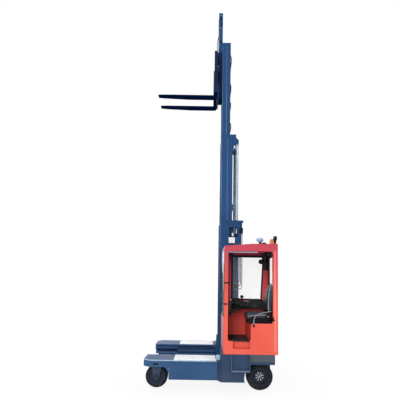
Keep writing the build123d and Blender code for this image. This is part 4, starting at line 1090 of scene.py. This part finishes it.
bar(stalk, boss_at - wheel_axis * 0.015, boss_at - wheel_axis * 0.012 + Vector((0.03, -0.13, 0.006)), 0.006,
    12, tip=0.008)
block(stalk, boss_at - Vector((0.07, 0.03, 0.065)), boss_at - Vector((-0.01, -0.03, 0.03)), 0.008)
piece("column_stalk", stalk, rubber_black)

# Seat: vinyl over foam, near black, crowned cushions with raised bolsters and grey piping.
# The cushion sits on a low sprung base with an adjusting lever on its outer side.
vinyl = surface("vinyl", (44, 50, 60), (62, 70, 84), rough=(0.38, 0.55), grain=(700, 0.00018), cloud=6,
                gloss=0.35)
piping_grey = surface("piping_grey", (160, 166, 174), (196, 202, 210), rough=(0.4, 0.6))


def swollen(name, shape):
    """Puff a closed shape up with air pressure, as stuffed vinyl, and keep it within a limit."""
    voxel, limit, last_frame = 0.006, 0.010, 20
    mesh = bpy.data.meshes.new(name)
    shape.to_mesh(mesh)
    shape.free()
    made = bpy.data.objects.new(name, mesh)
    scene.collection.objects.link(made)
    remesh = made.modifiers.new("even", "REMESH")
    remesh.mode = "VOXEL"
    remesh.voxel_size = voxel
    bpy.context.view_layer.update()
    even = bpy.data.meshes.new_from_object(made.evaluated_get(bpy.context.evaluated_depsgraph_get()))
    made.modifiers.clear()
    made.data = even
    bpy.data.meshes.remove(mesh)
    even.name = name
    before = [vert.co.copy() for vert in even.vertices]
    cloth = made.modifiers.new("air", "CLOTH")
    cloth.settings.quality = 5
    cloth.settings.mass = 0.3
    cloth.settings.tension_stiffness = 15
    cloth.settings.compression_stiffness = 15
    cloth.settings.bending_stiffness = 1.5
    cloth.settings.use_pressure = True
    cloth.settings.uniform_pressure_force = 4
    cloth.settings.effector_weights.gravity = 0
    cloth.point_cache.frame_start = 1
    cloth.point_cache.frame_end = last_frame
    for step in range(1, last_frame + 1):
        scene.frame_set(step)
    after = bpy.data.meshes.new_from_object(made.evaluated_get(bpy.context.evaluated_depsgraph_get()))
    made.modifiers.clear()
    for vert, old, new in zip(even.vertices, before, after.vertices):
        move = new.co - old
        vert.co = old + (move if move.length <= limit else move.normalized() * limit)
    bpy.data.meshes.remove(after)
    scene.frame_set(1)
    relaxed = bmesh.new()
    relaxed.from_mesh(even)
    bmesh.ops.smooth_vert(relaxed, verts=relaxed.verts, factor=0.5, use_axis_x=True, use_axis_y=True,
                          use_axis_z=True)
    relaxed.to_mesh(even)
    relaxed.free()
    even.materials.append(vinyl)
    even.shade_smooth()
    smoother = made.modifiers.new("fine", "SUBSURF")
    smoother.levels = 1
    smoother.render_levels = 1
    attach(made, "chassis")
    return made


def on_surface(target, points, lift=0.0):
    """Points moved onto a piece's skin."""
    skin = bmesh.new()
    skin.from_mesh(target.data)
    tree = BVHTree.FromBMesh(skin)
    line = []
    for point in points:
        spot, normal, _, _ = tree.find_nearest(Vector(point))
        line.append(tuple(spot + normal * lift))
    skin.free()
    return line


cushion_low, cushion_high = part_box("seat_cushion")
seat_middle = (cushion_low[1] + cushion_high[1]) / 2
shape = bmesh.new()
swell = 0.012
block(shape, (cushion_low[0] + swell, cushion_low[1] + swell, cushion_low[2] + 0.006),
      (cushion_high[0] - swell, cushion_high[1] - swell, cushion_high[2] - 0.036), 0.028, 4)
for side in (-1, 1):
    bolster_y = seat_middle + side * 0.180
    bar(shape, (cushion_low[0] + 0.045, bolster_y, cushion_high[2] - 0.042),
        (cushion_high[0] - 0.03, bolster_y, cushion_high[2] - 0.036), 0.029, 24)
nose_x, nose_z = cushion_low[0] + 0.046, cushion_high[2] - 0.046
bar(shape, (nose_x, seat_middle - 0.18, nose_z), (nose_x, seat_middle + 0.18, nose_z), 0.034, 24)
cushion = swollen("seat_cushion_vinyl", shape)
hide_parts("seat_cushion")

back_low, back_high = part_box("seat_back")
shape = bmesh.new()
half_back = (back_high[1] - back_low[1]) / 2 - swell
profile = (
    # height, front face, rear face, half width
    (back_low[2] + 0.012, 0.900, 0.978, 1.0), (1.26, 0.898, 0.984, 1.0), (1.42, 0.902, 0.988, 0.98),
    (1.50, 0.918, 0.990, 0.84), (1.56, 0.944, 0.990, 0.60), (1.62, 0.962, 0.988, 0.42),
    (back_high[2] - 0.012, 0.968, 0.982, 0.34),
)
rings = []
for z, front, rear, share in profile:
    width = half_back * share
    points = [(front + 0.012, -1), (front, -0.86), (front + 0.006, -0.5), (front + 0.008, 0),
              (front + 0.006, 0.5), (front, 0.86), (front + 0.012, 1), (rear - 0.012, 1), (rear, 0.8),
              (rear, 0), (rear, -0.8), (rear - 0.012, -1)]
    rings.append([shape.verts.new((x, seat_middle + width * s, z)) for x, s in points])
for below, above in zip(rings, rings[1:]):
    for n in range(len(below)):
        m = (n + 1) % len(below)
        shape.faces.new((below[n], below[m], above[m], above[n]))
shape.faces.new(rings[0][::-1])
shape.faces.new(rings[-1])
bmesh.ops.recalc_face_normals(shape, faces=shape.faces)
backrest = swollen("seat_back_vinyl", shape)
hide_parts("seat_back")

cushion_edge = ((0.03, 1.125), (0.07, 1.118), (0.14, 1.122), (0.21, 1.130), (0.28, 1.138), (0.35, 1.146),
                (0.405, 1.150))
cushion_across = (-0.14, -0.09, -0.04, 0.0, 0.04, 0.09, 0.14)
back_edge = (
    # along the truck, share of the half width, height
    (0.90, 1.1, 1.20), (0.896, 1.1, 1.27), (0.898, 1.08, 1.34), (0.902, 1.06, 1.41), (0.912, 0.95, 1.48),
    (0.932, 0.72, 1.54), (0.952, 0.52, 1.60), (0.964, 0.4, 1.635),
)
back_across = (-0.13, -0.08, -0.03, 0.03, 0.08, 0.13)
lines = {"cushion_piping": (cushion, [(cushion_low[0] + x, seat_middle - 0.245, z) for x, z in cushion_edge])}
for name, x in (("cushion_channel", 0.68), ("cushion_channel_rear", 0.80)):
    lines[name] = (cushion, [(x, seat_middle + y, 1.25) for y in cushion_across])
for name, side in (("back_piping", -1), ("back_piping_far", 1)):
    lines[name] = (backrest, [(x, seat_middle + side * 0.215 * share, z) for x, share, z in back_edge])
for name, z in (("back_channel", 1.33), ("back_channel_upper", 1.45)):
    lines[name] = (backrest, [(0.86, seat_middle + y, z) for y in back_across])
for name, (target, points) in lines.items():
    thick, finish = (0.0052, piping_grey) if "piping" in name else (0.003, hose_black)
    pipe(name, on_surface(target, points, 0.0005), thick, finish)

fittings = bmesh.new()
base_low, base_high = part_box("seat_base")
for n in range(4):
    z = base_low[2] + 0.008 + n * 0.015
    block(fittings, (base_low[0] - 0.008, base_low[1] - 0.008, z - 0.005),
          (base_high[0] + 0.008, base_high[1] + 0.008, z + 0.005), 0.004)
knob_x, knob_y = 0.652, cab_out - 0.014
bar(fittings, (knob_x, knob_y, 1.012), (knob_x + 0.001, knob_y, 0.99), 0.009, 16, tip=0.014)
ball(fittings, (knob_x + 0.001, knob_y, 0.982), 0.016, 20, 12)
pivot_x, pivot_z = 0.905, 1.110
for side in (-1, 1):
    bar(fittings, (pivot_x, seat_middle + side * 0.232, pivot_z),
        (pivot_x, seat_middle + side * 0.205, pivot_z), 0.038, 32)
    block(fittings, (pivot_x - 0.02, seat_middle + side * 0.212, 1.06),
          (pivot_x + 0.045, seat_middle + side * 0.226, 1.2), 0.004)
block(fittings, (0.935, cab_out - 0.008, 1.075), (0.958, cab_out + 0.004, 1.12), 0.004)
block(fittings, (0.944, cab_out - 0.010, 1.06), (0.972, cab_out - 0.002, 1.085), 0.003)
piece("seat_fittings", fittings, rubber_black)
shine = bmesh.new()
bar(shine, (pivot_x, seat_middle - 0.2325, pivot_z), (pivot_x, seat_middle - 0.237, pivot_z), 0.011, 20)
piece("seat_pivot", shine, bolt_steel)
lever_route = [(0.955, seat_middle - 0.243, 1.19), (0.93, seat_middle - 0.245, 1.188),
               (0.86, seat_middle - 0.248, 1.178), (0.755, seat_middle - 0.26, 1.152),
               (0.695, seat_middle - 0.33, 1.12), (0.658, cab_out + 0.02, 1.082), (knob_x, knob_y, 1.05),
               (knob_x, knob_y, 1.01)]
pipe("seat_lever", lever_route, 0.005, piping_grey)

# Roof fittings: a blue-tinted camera dome on its foot, its blue and near-white patches painted reflections,
# a low black aerial behind it, a ribbed collar round the beacon and a dark neck under the work lamp.
dome_reflection_paint = surface("dome_reflection_paint", (96, 128, 196), (226, 238, 250), rough=(0.08, 0.14), cloud=34, coat=0.8,
                     gloss=0.5)
roof_y, roof_foot = -1.075, 2.186
dome_x, aerial_x = 0.776, 0.842
dome = bmesh.new()
ball(dome, (dome_x, roof_y, 2.318), 0.06, 40, 24, 0.72)
piece("camera_dome", dome, dome_reflection_paint)
aerial = bmesh.new()
bar(aerial, (dome_x + 0.004, roof_y, roof_foot), (dome_x + 0.004, roof_y, 2.29), 0.016, 24, tip=0.024)
ball(aerial, (aerial_x, roof_y, 2.245), 0.044, squash=0.75)
bar(aerial, (aerial_x, roof_y, roof_foot), (aerial_x, roof_y, 2.25), 0.036, 32)
lamp_x, lamp_y, _ = [(a + b) / 2 for a, b in zip(*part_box("work_lamp"))]
bar(aerial, (lamp_x, lamp_y, 2.20), (lamp_x, lamp_y, 2.315), 0.011, 20, tip=0.024)
ball(aerial, (lamp_x, lamp_y, 2.318), 0.031)
piece("roof_aerial", aerial, rubber_black)
beacon_x, beacon_y, _ = [(a + b) / 2 for a, b in zip(*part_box("beacon"))]
rib_count, rib_ring = 10, 0.0335
beacon_ribs = bmesh.new()
for n in range(rib_count):
    turn = 2 * pi * n / rib_count
    foot = Vector((beacon_x + rib_ring * cos(turn), beacon_y + rib_ring * sin(turn), 2.225))
    bar(beacon_ribs, foot, foot + Vector((0, 0, 0.088)), 0.0035, 8)
beacon_pale = surface("beacon_pale", (226, 158, 108), (240, 176, 124), rough=(0.15, 0.25), coat=0.5)
piece("beacon_ribs", beacon_ribs, beacon_pale)

# Battery hood, side door and rear cover: pressed panels with louvres, latches, lifting handles,
# a gap round the hood's lid, and blank rating plates. The louvre slots are dark strips of painted shade.
hood_low, hood_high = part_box("battery_hood")
side_low, side_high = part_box("battery_door")
cover_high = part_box("rear_cover")[1]
louvre_step, louvre_tall, louvre_proud = 0.034, 0.012, 0.0006
plate_proud = 0.0008
# Dark strips for the louvre slots are painted shade. The lines round the lid are its gap.
louvres = bmesh.new()
for count, foot, low, high in (
    # number of slots, height of the lowest, their ends as (x, y)
    (9, 0.70, (hood_high[0] - 0.003, hood_low[1] + 0.22), (hood_high[0] + louvre_proud, hood_high[1] - 0.22)),
    (9, 0.70, (side_low[0] + 0.16, side_high[1] - 0.003), (side_high[0] - 0.16, side_high[1] + louvre_proud)),
    (12, 0.66, (cover_high[0] - 0.003, -0.27), (cover_high[0] + louvre_proud, 0.27)),
):
    for n in range(count):
        z = foot + n * louvre_step
        block(louvres, (*low, z), (*high, z + louvre_tall), 0.0005)
lid_low, lid_high = hood_high[2] - 0.002, hood_high[2] + plate_proud
for y in (hood_low[1] + 0.035, hood_high[1] - 0.04):
    block(louvres, (hood_low[0] + 0.03, y, lid_low), (hood_high[0] - 0.03, y + 0.005, lid_high), 0.0004)
for x in (hood_low[0] + 0.03, hood_high[0] - 0.035):
    block(louvres, (x, hood_low[1] + 0.035, lid_low), (x + 0.005, hood_high[1] - 0.035, lid_high), 0.0004)
piece("louvre_shade_and_lid_gaps", louvres, rubber_black)
handles = bmesh.new()
handle_y, handle_z = hood_high[1] - 0.12, hood_high[2] + 0.034
for x in (hood_low[0] + 0.16, hood_high[0] - 0.16):
    for foot_x in (x - 0.06, x + 0.06):
        bar(handles, (foot_x, handle_y, hood_high[2] - 0.002), (foot_x, handle_y, handle_z), 0.007, 12)
    bar(handles, (x - 0.067, handle_y, handle_z), (x + 0.067, handle_y, handle_z), 0.007, 12)
door_middle = (side_low[0] + side_high[0]) / 2
for z in (0.66, 1.05):
    block(handles, (door_middle - 0.045, side_high[1] - 0.004, z),
          (door_middle + 0.045, side_high[1] + plate_proud, z + 0.025), 0.0006)
for y in (-0.33, 0.33):
    for z in (0.62, 1.12):
        bar(handles, (cover_high[0] - 0.002, y, z), (cover_high[0] + plate_proud, y, z), 0.012, 20)
piece("panel_handles", handles, bolt_steel)
plates = bmesh.new()
block(plates, (cover_high[0] - 0.002, -0.10, 1.09), (cover_high[0] + plate_proud, 0.02, 1.145), 0.0004)
block(plates, (0.72, side_high[1] - 0.002, 1.05), (0.82, side_high[1] + plate_proud, 1.09), 0.0004)
piece("blank_plates", plates, rod_chrome)
